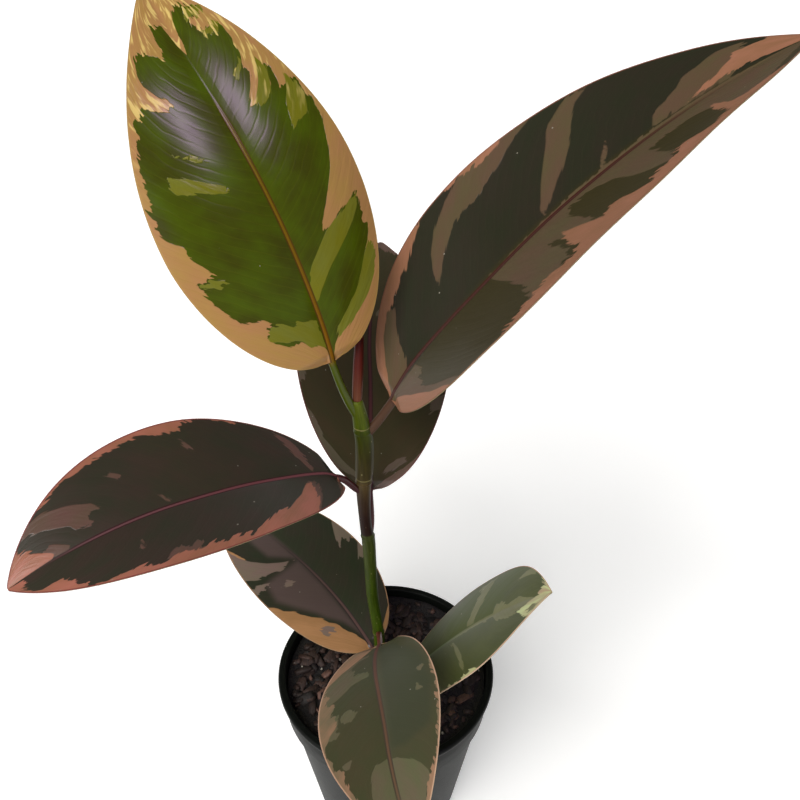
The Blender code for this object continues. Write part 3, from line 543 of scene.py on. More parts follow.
def leafSkin(name, leaf):
    # one closed skin for stalk and blade: the stalk's round cut opens into the blade's thin one
    length = leaf["length"]
    count = int(length / blade["rowStep"])
    even = np.linspace(0, 1, count + 1)
    t = even - 0.5 * np.sin(2 * np.pi * even) / (2 * np.pi)
    middle = (t[1:] + t[:-1]) / 2
    along, right, up = bladeFrame(leaf, t)
    steps = bladeFrame(leaf, middle)[0] * (np.diff(t) * length)[:, None]
    midrib = np.array(leaf["base"]) + np.concatenate([np.zeros((1, 3)), np.cumsum(steps, 0)])

    # the stalk's rows come first, with the blade's right side turned to fit their tangents
    centre, tangent, width, away = stalkRows(leaf)
    stalkUp = np.cross(right[:1], tangent)
    stalkUp /= np.linalg.norm(stalkUp, axis=1)[:, None]
    stalkRight = np.cross(tangent, stalkUp)
    midrib = np.concatenate([centre + stalkUp * (width / 2)[:, None], midrib])
    right, up = np.concatenate([stalkRight, right]), np.concatenate([stalkUp, up])
    y = np.concatenate([-away, t * length])
    radius = np.concatenate([width / 2, leaf["end"] / 2 + (blade["tipHalfWidth"] - leaf["end"] / 2) * t])
    t = np.concatenate([np.zeros(len(centre)), t])
    share = outlineShare(leaf, t)
    opened = smooth(y / blade["shoulder"])[:, None]
    stalk = (y < 0)[:, None]

    shares = columnShares(max(leaf["left"], leaf["right"]))
    top = np.concatenate([-shares[::-1], shares[1:]])
    sides = np.concatenate([top, top[::-1][1:]])
    under = np.concatenate([np.zeros(len(top)), np.ones(len(top) - 1)])
    hand = np.where(sides < 0, -1.0, 1.0)
    s = np.abs(sides)[None]
    widest = np.where(hand > 0, leaf["right"], leaf["left"])[None]
    half = np.where(stalk, radius[:, None], (widest - radius[:, None]) * share[:, None] + radius[:, None])
    midribAt = np.where(stalk, 0, np.clip(curveThrough(leaf["ribPath"], t), -0.4 * half.min(1)[:, None],
                                          0.4 * half.min(1)[:, None]))
    reach = half - hand * midribAt

    # the upper face: from the midrib each half rises by the fold and then turns by the curl
    fold = np.where(stalk, 0, np.radians(leaf["fold"]))
    change = np.where(stalk, 0, np.radians(leaf["curl"])) * share[:, None]
    change = np.where(np.abs(change) < 1e-5, 1e-5, change)
    turned = fold + change * s
    across = reach * (np.sin(turned) - np.sin(fold)) / change
    lift = reach * (np.cos(fold) - np.cos(turned)) / change
    offMidrib = (midribAt + hand * across)[..., None] * right[:, None]
    face = midrib[:, None] + offMidrib + lift[..., None] * up[:, None]
    normal = np.cos(turned)[..., None] * up[:, None] - (hand * np.sin(turned))[..., None] * right[:, None]

    # relief of the upper face: waves towards the margin, a ridge on the midrib and a groove at its sides
    a = reach * s
    x = (midribAt + hand * a) / half * widest
    phase = leaf["seed"]
    slow, quick = [y[:, None] / waveLength for waveLength in blade["waveLengths"]]
    waves = np.sin(slow + phase + hand) + 0.6 * np.sin(quick + 2 * phase - hand)
    rib = leaf["ribWidth"] * (1 - 0.7 * t)[:, None]
    height = blade["wave"] * waves * s ** 2 * opened * np.clip(half / 20, 0, 1)
    dying = 1 - 0.85 * smooth((t - leaf["ribFade"][0]) / (leaf["ribFade"][1] - leaf["ribFade"][0]))[:, None]
    crease = blade["ridge"] * np.exp(-(a / rib) ** 2) - blade["groove"] * np.exp(-((a - 2 * rib) / rib) ** 2)
    height = height + opened * dying * crease
    bore = np.sqrt(np.maximum(radius[:, None] ** 2 - np.minimum(a, radius[:, None]) ** 2, 0))
    height = height - (1 - opened) * (radius[:, None] - bore)

    # the lower face: the leaf's thickness, rounded at the margin, and the keel that carries the stalk on
    rounding = np.minimum(blade["marginRound"], 0.45 * half)
    margin = np.sqrt(np.clip(1 - (1 - np.clip((reach - a) / rounding, 0, 1)) ** 2, 0, 1))
    thickness = blade["thickness"] * (1 - 0.35 * s ** 2) * margin
    fading = np.clip(1 - t / blade["keelEnd"], 0, 1)[:, None] ** 0.8
    keelDepth = np.maximum(0, leaf["end"] - blade["thickness"]) * fading
    keel = keelDepth * np.exp(-(a / (blade["keelHalfWidth"] * (1 - 0.6 * t)[:, None])) ** 2 * 1.4) * margin
    depth = np.maximum(np.where(stalk, 0, thickness + opened * keel), 2 * bore * (1 - opened))
    points = face + (height - under[None] * depth)[..., None] * normal

    # what the finish reads: place along and across the side veins, gaps to midrib and margin, and zones
    rise = blade["veinRise"] + 2 * blade["veinLift"] * s
    zero = np.zeros(x.shape)
    y = zero + y[:, None]
    vein = y - (blade["veinRise"] * s + blade["veinLift"] * s ** 2) * widest
    flat = np.maximum(y, 0)
    pale, paleGrows = zoneField(leaf, leaf["paleZones"], x, flat, rise)
    light, lightGrows = zoneField(leaf, leaf["lightZones"], x, flat, rise)
    # painted sheen and shade: the zone where one half of the fold is tinted for the light it catches
    foldSheen, _ = zoneField(leaf, leaf["foldSheenZones"], x, flat, rise)
    ribHalf = (leaf["ribWidth"] * (1 - 0.75 * t) + 0.12)[:, None]
    ribGap = np.where(stalk, -5.0, a - ribHalf)
    fields = {"veinPlace": np.stack([vein, x, y], -1),
              "zonePlace": np.stack([pale, light, zero + under[None]], -1),
              "zoneSlope": np.stack([paleGrows, lightGrows, foldSheen], -1),
              "gapPlace": np.stack([ribGap, np.where(stalk, 5.0, reach - a), zero + t[:, None]], -1)}
    return wrapGrid(name, points, fields)


# The grown skin of a leaf, in mm: side veins, the ragged steps of the zones' edges, and the wax on it
skin = dict(tooth=1.7, toothReach=3.2, wander=5.5, wanderReach=1.6, foldSheenEdge=2.5, streak=1.3, streakLength=16,
            sideVein=4.2, sideDepth=0.012, fineVein=1.1, fineDepth=0.005, ripple=7.0, rippleDepth=0.09,
            pucker=3.2, puckerDepth=0.11, speck=6.5, speckSize=0.2, speckTone="8c867a", underRoughness=0.5)


def leafFinish(name, leaf):
    # Rubber plant leaf, grown: colour stops in sharp steps along the side veins under a waxy, clear gloss
    material, add = newMaterial(name)
    names = ("veinPlace", "zonePlace", "zoneSlope", "gapPlace")
    place, *others = [add("Attribute", attribute_name=key).outputs["Vector"] for key in names]
    zones, slopes, gaps = [add("SeparateXYZ", {0: vector}) for vector in others]
    under = zones.outputs["Z"]
    seed = leaf["seed"]

    # teeth: each narrow strip between fine veins ends at its own length; wander: slower drift of the edge
    toothMap = add("Mapping", {"Vector": place, "Location": (seed, seed, 0),
                               "Scale": (1 / skin["tooth"], 0.03, 0)})
    teeth = add("TexVoronoi", {"Vector": toothMap, "Scale": 1.0}, voronoi_dimensions="2D")
    toothParts = add("SeparateColor", {0: teeth.outputs["Color"]})
    wanderMap = add("Mapping", {"Vector": place, "Location": (2 * seed, 0, 0),
                                "Scale": (1 / skin["wander"], 0.05, 0)})
    wander = add("TexNoise", {"Vector": wanderMap, "Scale": 1.0, "Detail": 3.0}, **flat2D)
    drift = add("MapRange", {"Value": wander, "From Min": 0.25, "From Max": 0.75,
                             "To Min": -skin["wanderReach"], "To Max": skin["wanderReach"]})
    offRib = add("MapRange", {"Value": gaps.outputs["X"], "From Min": 0.2, "From Max": 3.0})
    masks = []
    for zone, slope, part in (("X", "X", "Red"), ("Y", "Y", "Green")):
        tooth = add("MapRange", {"Value": toothParts.outputs[part], "To Min": -skin["toothReach"] / 2,
                                 "To Max": skin["toothReach"] / 2})
        shift = add("Math", {0: tooth, 1: drift}, operation="ADD")
        ragged = add("Math", {0: shift, 1: offRib}, operation="MULTIPLY")
        gap = add("Math", {0: ragged, 1: slopes.outputs[slope], 2: zones.outputs[zone]},
                  operation="MULTIPLY_ADD")
        masks.append(add("MapRange", {"Value": gap, "From Min": -leaf["edge"], "From Max": leaf["edge"]},
                         **softStep))
    paleMask, lightMask = masks

    # streaks along the side veins and slow blotches vary each tone
    streakMap = add("Mapping", {"Vector": place, "Location": (0, seed, 0),
                                "Scale": (1 / skin["streak"], 1 / skin["streakLength"], 0)})
    streak = add("TexNoise", {"Vector": streakMap, "Scale": 1.0, "Detail": 4.0}, **flat2D)
    blotch = add("TexNoise", {"Vector": place, "Scale": 0.06, "Detail": 3.0})
    blend = add("Mix", {0: 0.15, 2: blotch, 3: streak}, data_type="FLOAT")
    tone = add("MapRange", {"Value": blend, "From Min": 0.36, "From Max": 0.64})
    tones = {}
    for zone, first, second in (("main", "main", "mainDeep"), ("light", "light", "lightSoft"),
                                ("pale", "pale", "paleWarm")):
        tones[zone] = add("Mix", {0: tone, 6: hexColour(leaf[first]), 7: hexColour(leaf[second])}, **rgba)
    order = [("light", lightMask), ("pale", paleMask)]
    if leaf["lightOnTop"]:
        order.reverse()
    # painted sheen and shade: one half of the fold is tinted towards its own tone, standing in for the sheen
    # and shade it catches
    foldSheen = add("MapRange", {"Value": slopes.outputs["Z"], "From Min": -skin["foldSheenEdge"],
                            "From Max": skin["foldSheenEdge"], "To Max": leaf["foldSheenStrength"]}, **softStep)
    colour = add("Mix", {0: foldSheen, 6: tones["main"], 7: hexColour(leaf["foldSheen"])}, **rgba)
    for zone, mask in order:
        colour = add("Mix", {0: mask, 6: colour, 7: tones[zone]}, **rgba)

    # the pale tissue is thinner and puckers between the veins; near the tip its crests carry a painted glint, a
    # pale cream standing in for highlights
    puckerMap = add("Mapping", {"Vector": place, "Scale": (1 / skin["pucker"], 0.4 / skin["pucker"], 0)})
    pucker = add("TexNoise", {"Vector": puckerMap, "Scale": 1.0, "Detail": 2.0}, **flat2D)
    thin = add("Math", {0: paleMask, 1: lightMask}, operation="MAXIMUM")
    # painted highlight: pale cream on the pucker crests of the thin tissue near the tip stands in for glints
    if "glintRidges" in leaf:
        crest = add("MapRange", {"Value": pucker, "From Min": 0.5, "From Max": 0.68, "To Max": 0.85},
                    **softStep)
        reached = add("MapRange", {"Value": gaps.outputs["Z"], "From Min": leaf["glintRidges"][1],
                                   "From Max": leaf["glintRidges"][2]})
        crestGlint = add("Math", {0: crest, 1: reached}, operation="MULTIPLY")
        paintedGlint = add("Math", {0: crestGlint, 1: thin}, operation="MULTIPLY")
        colour = add("Mix", {0: paintedGlint, 6: colour, 7: hexColour(leaf["glintRidges"][0])}, **rgba)

    # side veins show as faint pale lines: their own paler tissue, with painted highlight along them
    wobble = add("TexNoise", {"Vector": place, "Scale": 0.09, "Detail": 1.0})
    veinAt = add("Math", {0: wobble, 1: 3.0, 2: add("SeparateXYZ", {0: place}).outputs["X"]},
                 operation="MULTIPLY_ADD")
    fold = add("Math", {0: veinAt, 1: skin["sideVein"] / 2}, operation="PINGPONG")
    onVein = add("MapRange", {"Value": fold, "From Min": 0.22, "From Max": 0.05, "To Max": leaf["veins"]},
                 **softStep)
    colour = add("Mix", {0: onVein, 6: colour, 7: hexColour(leaf["light"])}, **rgba)

    # a thin pale margin, and the midrib, which runs on as the stalk
    rim = add("MapRange", {"Value": gaps.outputs["Y"], "From Min": 0.7, "From Max": 0.25}, **softStep)
    colour = add("Mix", {0: rim, 6: colour, 7: hexColour(leaf["rim"])}, **rgba)
    ribTone = add("Mix", {0: gaps.outputs["Z"], 6: hexColour(leaf["rib"]), 7: hexColour(leaf["ribTip"])},
                  **rgba)
    along = add("SeparateXYZ", {0: place}).outputs["Z"]
    onBlade = add("MapRange", {"Value": along, "From Min": -2.5, "From Max": 2.5}, **softStep)
    ribColour = add("Mix", {0: onBlade, 6: hexColour(leaf["stalk"]), 7: ribTone}, **rgba)
    fade = add("MapRange", {"Value": gaps.outputs["Z"], "From Min": leaf["ribFade"][0],
                            "From Max": leaf["ribFade"][1], "To Min": 1.0, "To Max": 0.0}, **softStep)
    upper = colour
    for tone, start, end in ((hexColour(leaf["ribEdge"]), 0.75, 0.3), (ribColour, 0.2, -0.2)):
        near = add("MapRange", {"Value": gaps.outputs["X"], "From Min": start, "From Max": end}, **softStep)
        onRib = add("Math", {0: near, 1: fade}, operation="MULTIPLY")
        upper = add("Mix", {0: onRib, 6: upper, 7: tone}, **rgba)

    # a few pale specks of hard water
    speckMap = add("Mapping", {"Vector": place, "Scale": (0, 1 / skin["speck"], 1 / skin["speck"])})
    specks = add("TexVoronoi", {"Vector": speckMap, "Scale": 1.0})
    pick = add("SeparateColor", {0: specks.outputs["Color"]})
    size = add("MapRange", {"Value": pick.outputs["Red"], "From Min": 1 - leaf["specks"], "From Max": 1.0,
                            "To Max": skin["speckSize"] / skin["speck"] * 1.6})
    inSpeck = add("Math", {0: specks, 1: size}, operation="LESS_THAN")
    upper = add("Mix", {0: inSpeck, 6: upper, 7: hexColour(skin["speckTone"])}, **rgba)

    # the lower face is paler and duller, with the zones showing through faintly
    through = add("Mix", {0: 0.62, 6: colour, 7: hexColour(leaf["under"])}, **rgba)
    onKeel = add("MapRange", {"Value": gaps.outputs["X"], "From Min": 1.6, "From Max": 0.4}, **softStep)
    lower = add("Mix", {0: onKeel, 6: through, 7: ribColour}, **rgba)
    colour = add("Mix", {0: under, 6: upper, 7: lower}, **rgba)

    # side veins lie in shallow grooves with finer ones between
    groove = add("MapRange", {"Value": fold, "From Min": 0.0, "From Max": 0.9, "To Max": skin["sideDepth"]},
                 **softStep)
    fineMap = add("Mapping", {"Vector": place, "Scale": (1 / skin["fineVein"], 0.1, 0)})
    fine = add("TexNoise", {"Vector": fineMap, "Scale": 1.0, "Detail": 2.0}, **flat2D)
    height = add("Math", {0: fine, 1: skin["fineDepth"], 2: groove}, operation="MULTIPLY_ADD")
    rippleMap = add("Mapping", {"Vector": place, "Scale": (1 / skin["ripple"], 0.25 / skin["ripple"], 0)})
    ripple = add("TexNoise", {"Vector": rippleMap, "Scale": 1.0, "Detail": 1.0}, **flat2D)
    height = add("Math", {0: ripple, 1: skin["rippleDepth"], 2: height}, operation="MULTIPLY_ADD")
    puckered = add("Math", {0: pucker, 1: thin}, operation="MULTIPLY")
    height = add("Math", {0: puckered, 1: skin["puckerDepth"], 2: height}, operation="MULTIPLY_ADD")
    height = add("Math", {0: height, 1: offRib}, operation="MULTIPLY")
    bump = add("Bump", {"Height": height, "Distance": mm, "Strength": 1.0})
    rough = add("MapRange", {"Value": under, "To Min": leaf["roughness"], "To Max": skin["underRoughness"]})
    waxy = add("Math", {0: blotch, 1: 0.08, 2: rough}, operation="MULTIPLY_ADD")
    closeMaterial(add, {"Base Color": colour, "Roughness": waxy, "Normal": bump, "IOR": 1.45,
                        "Specular IOR Level": leaf["gloss"]})
    return material


for name, leaf in leaves.items():
    piece = "leaf_skin_" + name
    finishPiece(leafSkin(piece, leaf), piece, ["leaf_" + name, "stalk_" + name],
                [leafFinish("waxy_leaf_" + name, leaf)])
print("leaves grown")


def roundSkin(name, centres, across, up, radii, sides, fields):
    # a closed round skin through level rings; fields add columns of values that don't change round a ring
    turn = np.linspace(0, 2 * np.pi, sides + 1)[None, :, None]
    across, up = np.array(across, float), np.array(up, float)
    ring = np.repeat(np.cos(turn) * across + np.sin(turn) * up, len(radii), 0)
    points = centres[:, None] + radii[:, None, None] * ring
    points[:, -1] = points[:, 0]
    values = {}
    for key, column in fields.items():
        along = np.repeat(column[:, None], sides + 1, 1)
        values[key] = np.stack([ring[..., 0], ring[..., 1], along], -1)
    return wrapGrid(name, points, values)


def stemSkin():
    heights = np.arange(stemSize["foot"], stemSize["top"], stemSize["rowStep"])
    edges = [[scar + away for away in stemSize["scarRows"]] for scar in stemSize["scars"]]
    heights = np.unique(np.round(np.concatenate([heights] + edges), 2))
    centres, widths = stemAt(heights)
    aboveFoot = np.maximum(heights - stemSize["stations"][0][0], 0)
    radii = widths / 2 + stemSize["flare"] * np.exp(-aboveFoot / stemSize["flareFade"])
    for scar in stemSize["scars"]:
        radii += stemSize["scarRise"] * np.clip(1 - np.abs(heights - scar) / stemSize["scarHalfHeight"], 0, 1)
    last = np.maximum(heights - stemSize["roundFrom"], 0) / stemSize["roundLength"]
    radii *= np.sqrt(np.clip(1 - last ** 2, stemSize["leastShare"], 1))
    return roundSkin("stem_skin", centres, (1, 0, 0), (0, 1, 0), radii, stemSize["sides"],
                     {"stemPlace": heights})


# Young stem, green above and below one brown length, with a pale scar round it where each leaf left
stemLook = dict(ramp=[(84, "543328"), (89, "4b4b17"), (94, "36490a"), (150, "36460a"), (185.6, "3c421a"),
                      (186.2, "24140e"), (196, "2a1812"), (207, "3a2a1a"), (214.5, "483a20"),
                      (217.5, "332a12"), (228, "2d2804"), (236, "2c2e02"), (242, "303804"), (244, "404b08"),
                      (256, "4a530c")], scars=[(97.0, 0.5), (121.0, 0.5), (217.2, 1.0), (243.2, 1.0)],
                scar="7c7248", scarHeight=0.5, streak=0.9, streakLength=9.0, lenticel=2.6,
                lenticelTone="8c8258", roughness=0.45, gloss=0.13)


def stemFinish():
    # Young rubber plant stem, grown: smooth skin with faint lengthwise streaks and small corky dots
    material, add = newMaterial("green_stem_skin")
    place = add("Attribute", attribute_name="stemPlace").outputs["Vector"]
    height = add("SeparateXYZ", {0: place}).outputs["Z"]
    low, high = stemLook["ramp"][0][0], stemLook["ramp"][-1][0]
    share = add("MapRange", {"Value": height, "From Min": low, "From Max": high})
    ramp = rampOf(add, share, [((at - low) / (high - low), tone) for at, tone in stemLook["ramp"]])
    thin = 3.0 / stemLook["streak"]
    streakMap = add("Mapping", {"Vector": place, "Scale": (thin, thin, 1 / stemLook["streakLength"])})
    streak = add("TexNoise", {"Vector": streakMap, "Scale": 1.0, "Detail": 4.0})
    colour = mottle(add, ramp, streak, 0.72, 1.25)
    dotScale = [share / stemLook["lenticel"] for share in (3.0, 3.0, 0.5)]
    dotMap = add("Mapping", {"Vector": place, "Scale": dotScale})
    dots = add("TexVoronoi", {"Vector": dotMap, "Scale": 1.0})
    dot = add("MapRange", {"Value": dots, "From Min": 0.13, "From Max": 0.07, "To Max": 0.4}, **softStep)
    colour = add("Mix", {0: dot, 6: colour, 7: hexColour(stemLook["lenticelTone"])}, **rgba)
    wobble = add("TexNoise", {"Vector": place, "Scale": 0.9})
    bent = add("Math", {0: wobble, 1: 0.9, 2: height}, operation="MULTIPLY_ADD")
    for at, strength in stemLook["scars"]:
        away = add("Math", {0: bent, 1: at + 0.45, 2: stemLook["scarHeight"] * 0.5}, operation="COMPARE")
        mark = add("Math", {0: away, 1: 0.6 * strength}, operation="MULTIPLY")
        colour = add("Mix", {0: mark, 6: colour, 7: hexColour(stemLook["scar"])}, **rgba)
    bump = add("Bump", {"Height": streak, "Distance": 0.12 * mm, "Strength": 1.0})
    closeMaterial(add, {"Base Color": colour, "Roughness": stemLook["roughness"], "Normal": bump, "IOR": 1.45,
                        "Specular IOR Level": stemLook["gloss"]})
    return material


finishPiece(stemSkin(), "stem_skin", ["stem"], [stemFinish()])
print("stem grown")

# Bud sheath: one rolled red scale, placed as in the part's source
sheath = dict(foot=(-10.0, 4.4, 255.0), tip=(-7.9, 21.5, 296.0), diameter=4.3, tipDiameter=0.8, rows=70,
              sides=36, bow=0.5, taper=2.2, swell=0.5, roundShare=0.012,
              ramp=[(0.03, "5c3422"), (0.3, "4c1810"), (0.55, "440c08"), (0.97, "3c1a12")], roughness=0.42,
              gloss=0.16)


def sheathSkin():
    share = np.linspace(0, 1, sheath["rows"])
    foot, tip = np.array(sheath["foot"]), np.array(sheath["tip"])
    axis = (tip - foot) / np.linalg.norm(tip - foot)
    across = np.cross(axis, [0, 0, 1.0])
    across /= np.linalg.norm(across)
    up = np.cross(across, axis)
    centres = foot + share[:, None] * (tip - foot) - np.sin(np.pi * share)[:, None] * up * sheath["bow"]
    radii = (sheath["diameter"] - sheath["tipDiameter"]) * (1 - share ** sheath["taper"])
    radii = (sheath["tipDiameter"] + radii * (0.92 + sheath["swell"] * share * (1 - share))) / 2
    radii *= np.sqrt(np.clip((1 - share) / sheath["roundShare"], 0, 1) * 0.9 + 0.1)
    return roundSkin("sheath_skin", centres, across, up, radii, sheath["sides"], {"sheathPlace": share})


def sheathFinish():
    # Bud sheath, grown: thin glossy scale, pinkish tan at its foot and red above, with lengthwise streaks
    material, add = newMaterial("red_bud_scale")
    place = add("Attribute", attribute_name="sheathPlace").outputs["Vector"]
    share = add("SeparateXYZ", {0: place}).outputs["Z"]
    ramp = rampOf(add, share, sheath["ramp"])
    streakMap = add("Mapping", {"Vector": place, "Scale": (5.0, 5.0, 1.2)})
    streak = add("TexNoise", {"Vector": streakMap, "Scale": 1.0, "Detail": 3.0})
    colour = mottle(add, ramp, streak, 0.7, 1.3)
    bump = add("Bump", {"Height": streak, "Distance": 0.15 * mm, "Strength": 1.0})
    closeMaterial(add, {"Base Color": colour, "Roughness": sheath["roughness"], "Normal": bump, "IOR": 1.45,
                        "Specular IOR Level": sheath["gloss"]})
    return material


finishPiece(sheathSkin(), "sheath_scale", ["bud_sheath"], [sheathFinish()])
print("sheath closed")

# Nursery pot, in mm, turned about Z as in the part's source
pot = dict(height=95, rim=108, base=77, wall=1.2, floor=1.6, chamfer=1.5, collar=21, step=2.2, ramp=3,
           shoulder=49.2, lipWidth=2.2, lipHeight=3.2, lipRows=10, collarRows=(84, 88),
           innerRows=(94, 90, 85), wallRows=(60, 40, 20, 4), sides=160, holes=8, holeWidth=8, holeCircle=28,
           holeSides=28, floorRing=34, tone="080a08", toneWorn="121612", roughness=0.48, gloss=0.12, grit=0.5)


def potRadius(z):
    foot = pot["height"] - pot["collar"]
    if z <= foot:
        return pot["base"] / 2 + (pot["shoulder"] - pot["base"] / 2) * z / foot
    return pot["shoulder"] + pot["step"] * min(1, (z - foot) / pot["ramp"])


def potShell():
    # the profile runs up the outside, over the lip and down the inside
    foot = pot["height"] - pot["collar"]
    collar = foot + pot["ramp"]
    lipFoot = pot["height"] - pot["lipHeight"]
    profile = [(pot["floorRing"], 0), (pot["base"] / 2 - pot["chamfer"], 0), (potRadius(0) - 0.5, 0.5),
               (potRadius(pot["chamfer"]), pot["chamfer"])]
    profile += [(potRadius(z), z) for z in np.linspace(4, foot - 1, 12)]
    profile += [(potRadius(foot), foot), (potRadius(foot) + 0.35, foot + 0.25),
                (potRadius(collar) - 0.35, collar - 0.4), (potRadius(collar), collar)]
    profile += [(potRadius(z), z) for z in (*pot["collarRows"], lipFoot - pot["lipWidth"] / 2)]
    for i in range(pot["lipRows"] + 1):
        turn = -math.pi / 4 + i * math.pi * 0.75 / pot["lipRows"]
        profile.append((pot["rim"] / 2 - pot["lipWidth"] * (1 - math.cos(turn)) * 0.5,
                        pot["height"] - pot["lipHeight"] / 2 + pot["lipHeight"] / 2 * math.sin(turn)))
    inner = potRadius(pot["height"]) - pot["wall"]
    profile += [(inner + 0.55, pot["height"] - 0.02), (inner + 0.15, pot["height"] - 0.35)]
    profile += [(potRadius(z) - pot["wall"], z) for z in (*pot["innerRows"], collar, foot, *pot["wallRows"])]
    profile += [(potRadius(0) - pot["wall"] - 0.6, pot["floor"] + 0.2),
                (potRadius(0) - pot["wall"] - 1.4, pot["floor"]), (pot["floorRing"], pot["floor"])]
    bm = turnProfile(profile, pot["sides"])

    # the two faces of the floor run in from the wall to the drain holes
    rings = []
    for z in (0, pot["floor"]):
        outer = [e for e in bm.edges if e.is_boundary and all(abs(v.co.z - z * mm) < 1e-6 for v in e.verts)]
        holes = []
        for i in range(pot["holes"]):
            turn = 2 * math.pi * i / pot["holes"]
            place = Matrix.Translation((pot["holeCircle"] * mm * math.cos(turn),
                                        pot["holeCircle"] * mm * math.sin(turn), z * mm))
            ring = bmesh.ops.create_circle(bm, cap_ends=False, segments=pot["holeSides"],
                                           radius=pot["holeWidth"] / 2 * mm, matrix=place)["verts"]
            holes.append(list(dict.fromkeys(e for v in ring for e in v.link_edges)))
        bmesh.ops.triangle_fill(bm, use_beauty=True, edges=outer + [e for hole in holes for e in hole])
        rings.append(holes)
    for lower, upper in zip(*rings):
        bmesh.ops.bridge_loops(bm, edges=lower + upper)
    bmesh.ops.recalc_face_normals(bm, faces=bm.faces)
    return meshFrom(bm, "pot_shell")


def potFinish():
    # Polypropylene, injection moulded: near black with a green tinge, satin, faintly mottled and scuffed
    material, add = newMaterial("moulded_polypropylene")
    place = add("TexCoord").outputs["Object"]
    cloud = add("TexNoise", {"Vector": place, "Scale": 60.0, "Detail": 5.0})
    scuffMap = add("Mapping", {"Vector": place, "Rotation": (0.4, 0.2, 0.0), "Scale": (180.0, 180.0, 1400.0)})
    scuff = add("TexNoise", {"Vector": scuffMap, "Scale": 1.0, "Detail": 6.0, "Roughness": 0.7})
    worn = add("MapRange", {"Value": scuff, "From Min": 0.56, "From Max": 0.72, "To Max": 0.8})
    tone = add("Math", {0: cloud, 1: 0.5, 2: worn}, operation="MULTIPLY_ADD")
    colour = add("Mix", {0: tone, 6: hexColour(pot["tone"]), 7: hexColour(pot["toneWorn"])}, **rgba)
    grit = add("TexNoise", {"Vector": place, "Scale": 1 / (pot["grit"] * mm), "Detail": 2.0})
    bump = add("Bump", {"Height": grit, "Distance": 0.04 * mm, "Strength": 1.0})
    rough = add("Math", {0: worn, 1: 0.15, 2: pot["roughness"]}, operation="MULTIPLY_ADD")
    closeMaterial(add, {"Base Color": colour, "Roughness": rough, "Normal": bump, "IOR": 1.49,
                        "Specular IOR Level": pot["gloss"]})
    return material


finishPiece(potShell(), "pot_shell", ["pot"], [potFinish()])
print("pot turned")

# Potting mix, in mm: a lumpy bed of fine peat under bark chips, with a few pale mineral grains
mix = dict(top=86, wallHeight=80, bank=3.5, bankMore=1.5, bankHeading=60, foot=1.9, gap=0.45, level=7.0,
           lump=1.5, sides=150, rings=52, seed=11, chips=520, chipLength=(2.6, 11.0), chipThick=(1.0, 2.6),
           tilt=30, clearStem=4.4, spread=48, stemX=-1.9, chipGap=0.6, lift=(0.1, 0.9), jitter=0.08,
           grains=46, grainSize=(0.9, 2.1), bed="140e0b", bedDamp="080605", bark="38241c", barkDeep="0b0706",
           barkPale="6a4a3e", grain="b9b2a4")


def insideRadius(z):
    return potRadius(z) - pot["wall"] - mix["gap"]


def bedHeight(x, y):
    # level near the stem, then lumpy, and banked up to the wall, most at the back
    away = math.hypot(x, y)
    rise = max(0, away - mix["level"]) / (insideRadius(mix["wallHeight"]) - mix["level"])
    more = mix["bankMore"] * math.cos(math.atan2(y, x) - math.radians(mix["bankHeading"]))
    wide, fine = [noise.noise(Vector((x / size, y / size, mix["seed"]))) for size in (9, 3.2)]
    lump = min(1, rise * 6) * mix["lump"] * (0.45 + 0.55 * (wide + 0.5 * fine))
    return mix["top"] + rise ** 2 * (mix["bank"] + more) - lump


def bedSolid():
    profile = [(0, mix["foot"]), (potRadius(4) - 3, mix["foot"])]
    profile += [(insideRadius(z), z) for z in (4, 30, 60, 74, 77)]
    profile += [(insideRadius(78) * share, mix["top"]) for share in np.linspace(1, 0, mix["rings"])]
    bm = turnProfile(profile, mix["sides"])
    for v in bm.verts:
        if v.co.z > (mix["top"] - 1) * mm:
            v.co.z = bedHeight(v.co.x / mm, v.co.y / mm) * mm
    bmesh.ops.recalc_face_normals(bm, faces=bm.faces)
    return meshFrom(bm, "mix_bed")


def scatter(name, count, shape, chance):
    # joins many small pieces, each laid on the bed clear of the stem and of the pot's wall
    bm = bmesh.new()
    tone = bm.verts.layers.float_vector.new("chipTone")
    for _ in range(count):
        while True:
            x, y = [chance.uniform(-mix["spread"], mix["spread"]) for _ in range(2)]
            size = shape["length"][0] + (shape["length"][1] - shape["length"][0]) * chance.random() ** 2
            reach = size / 2 + mix["chipGap"]
            offStem = math.hypot(x - mix["stemX"], y) - reach > mix["clearStem"]
            if offStem and math.hypot(x, y) + reach < insideRadius(mix["wallHeight"]):
                break
        thick = chance.uniform(*shape["thick"])
        turn = Matrix.Rotation(chance.uniform(0, math.tau), 4, "Z")
        tilt = Matrix.Rotation(math.radians(chance.uniform(-shape["tilt"], shape["tilt"])), 4, "X")
        tip = Matrix.Rotation(math.radians(chance.uniform(-shape["tilt"], shape["tilt"]) * 0.6), 4, "Y")
        scale = Matrix.Diagonal((size * mm, size * chance.uniform(*shape["width"]) * mm,
                                 min(thick, size) * mm, 1))
        lift = Matrix.Translation((x * mm, y * mm, (bedHeight(x, y) + chance.uniform(*mix["lift"])) * mm))
        firstVert, firstEdge = len(bm.verts), len(bm.edges)
        bmesh.ops.create_cube(bm, size=1)
        bm.edges.ensure_lookup_table()
        bmesh.ops.subdivide_edges(bm, edges=bm.edges[firstEdge:], cuts=1, use_grid_fill=True)
        bm.verts.ensure_lookup_table()
        new = bm.verts[firstVert:]
        value = Vector([chance.random() for _ in range(3)])
        for v in new:
            jitter = Vector([chance.uniform(-mix["jitter"], mix["jitter"]) for _ in range(3)])
            v.co = v.co * (0.5 / v.co.length) ** shape["round"] + jitter
            v[tone] = value
        bmesh.ops.transform(bm, matrix=lift @ turn @ tilt @ tip @ scale, verts=new)
    bmesh.ops.recalc_face_normals(bm, faces=bm.faces)
    return meshFrom(bm, name)


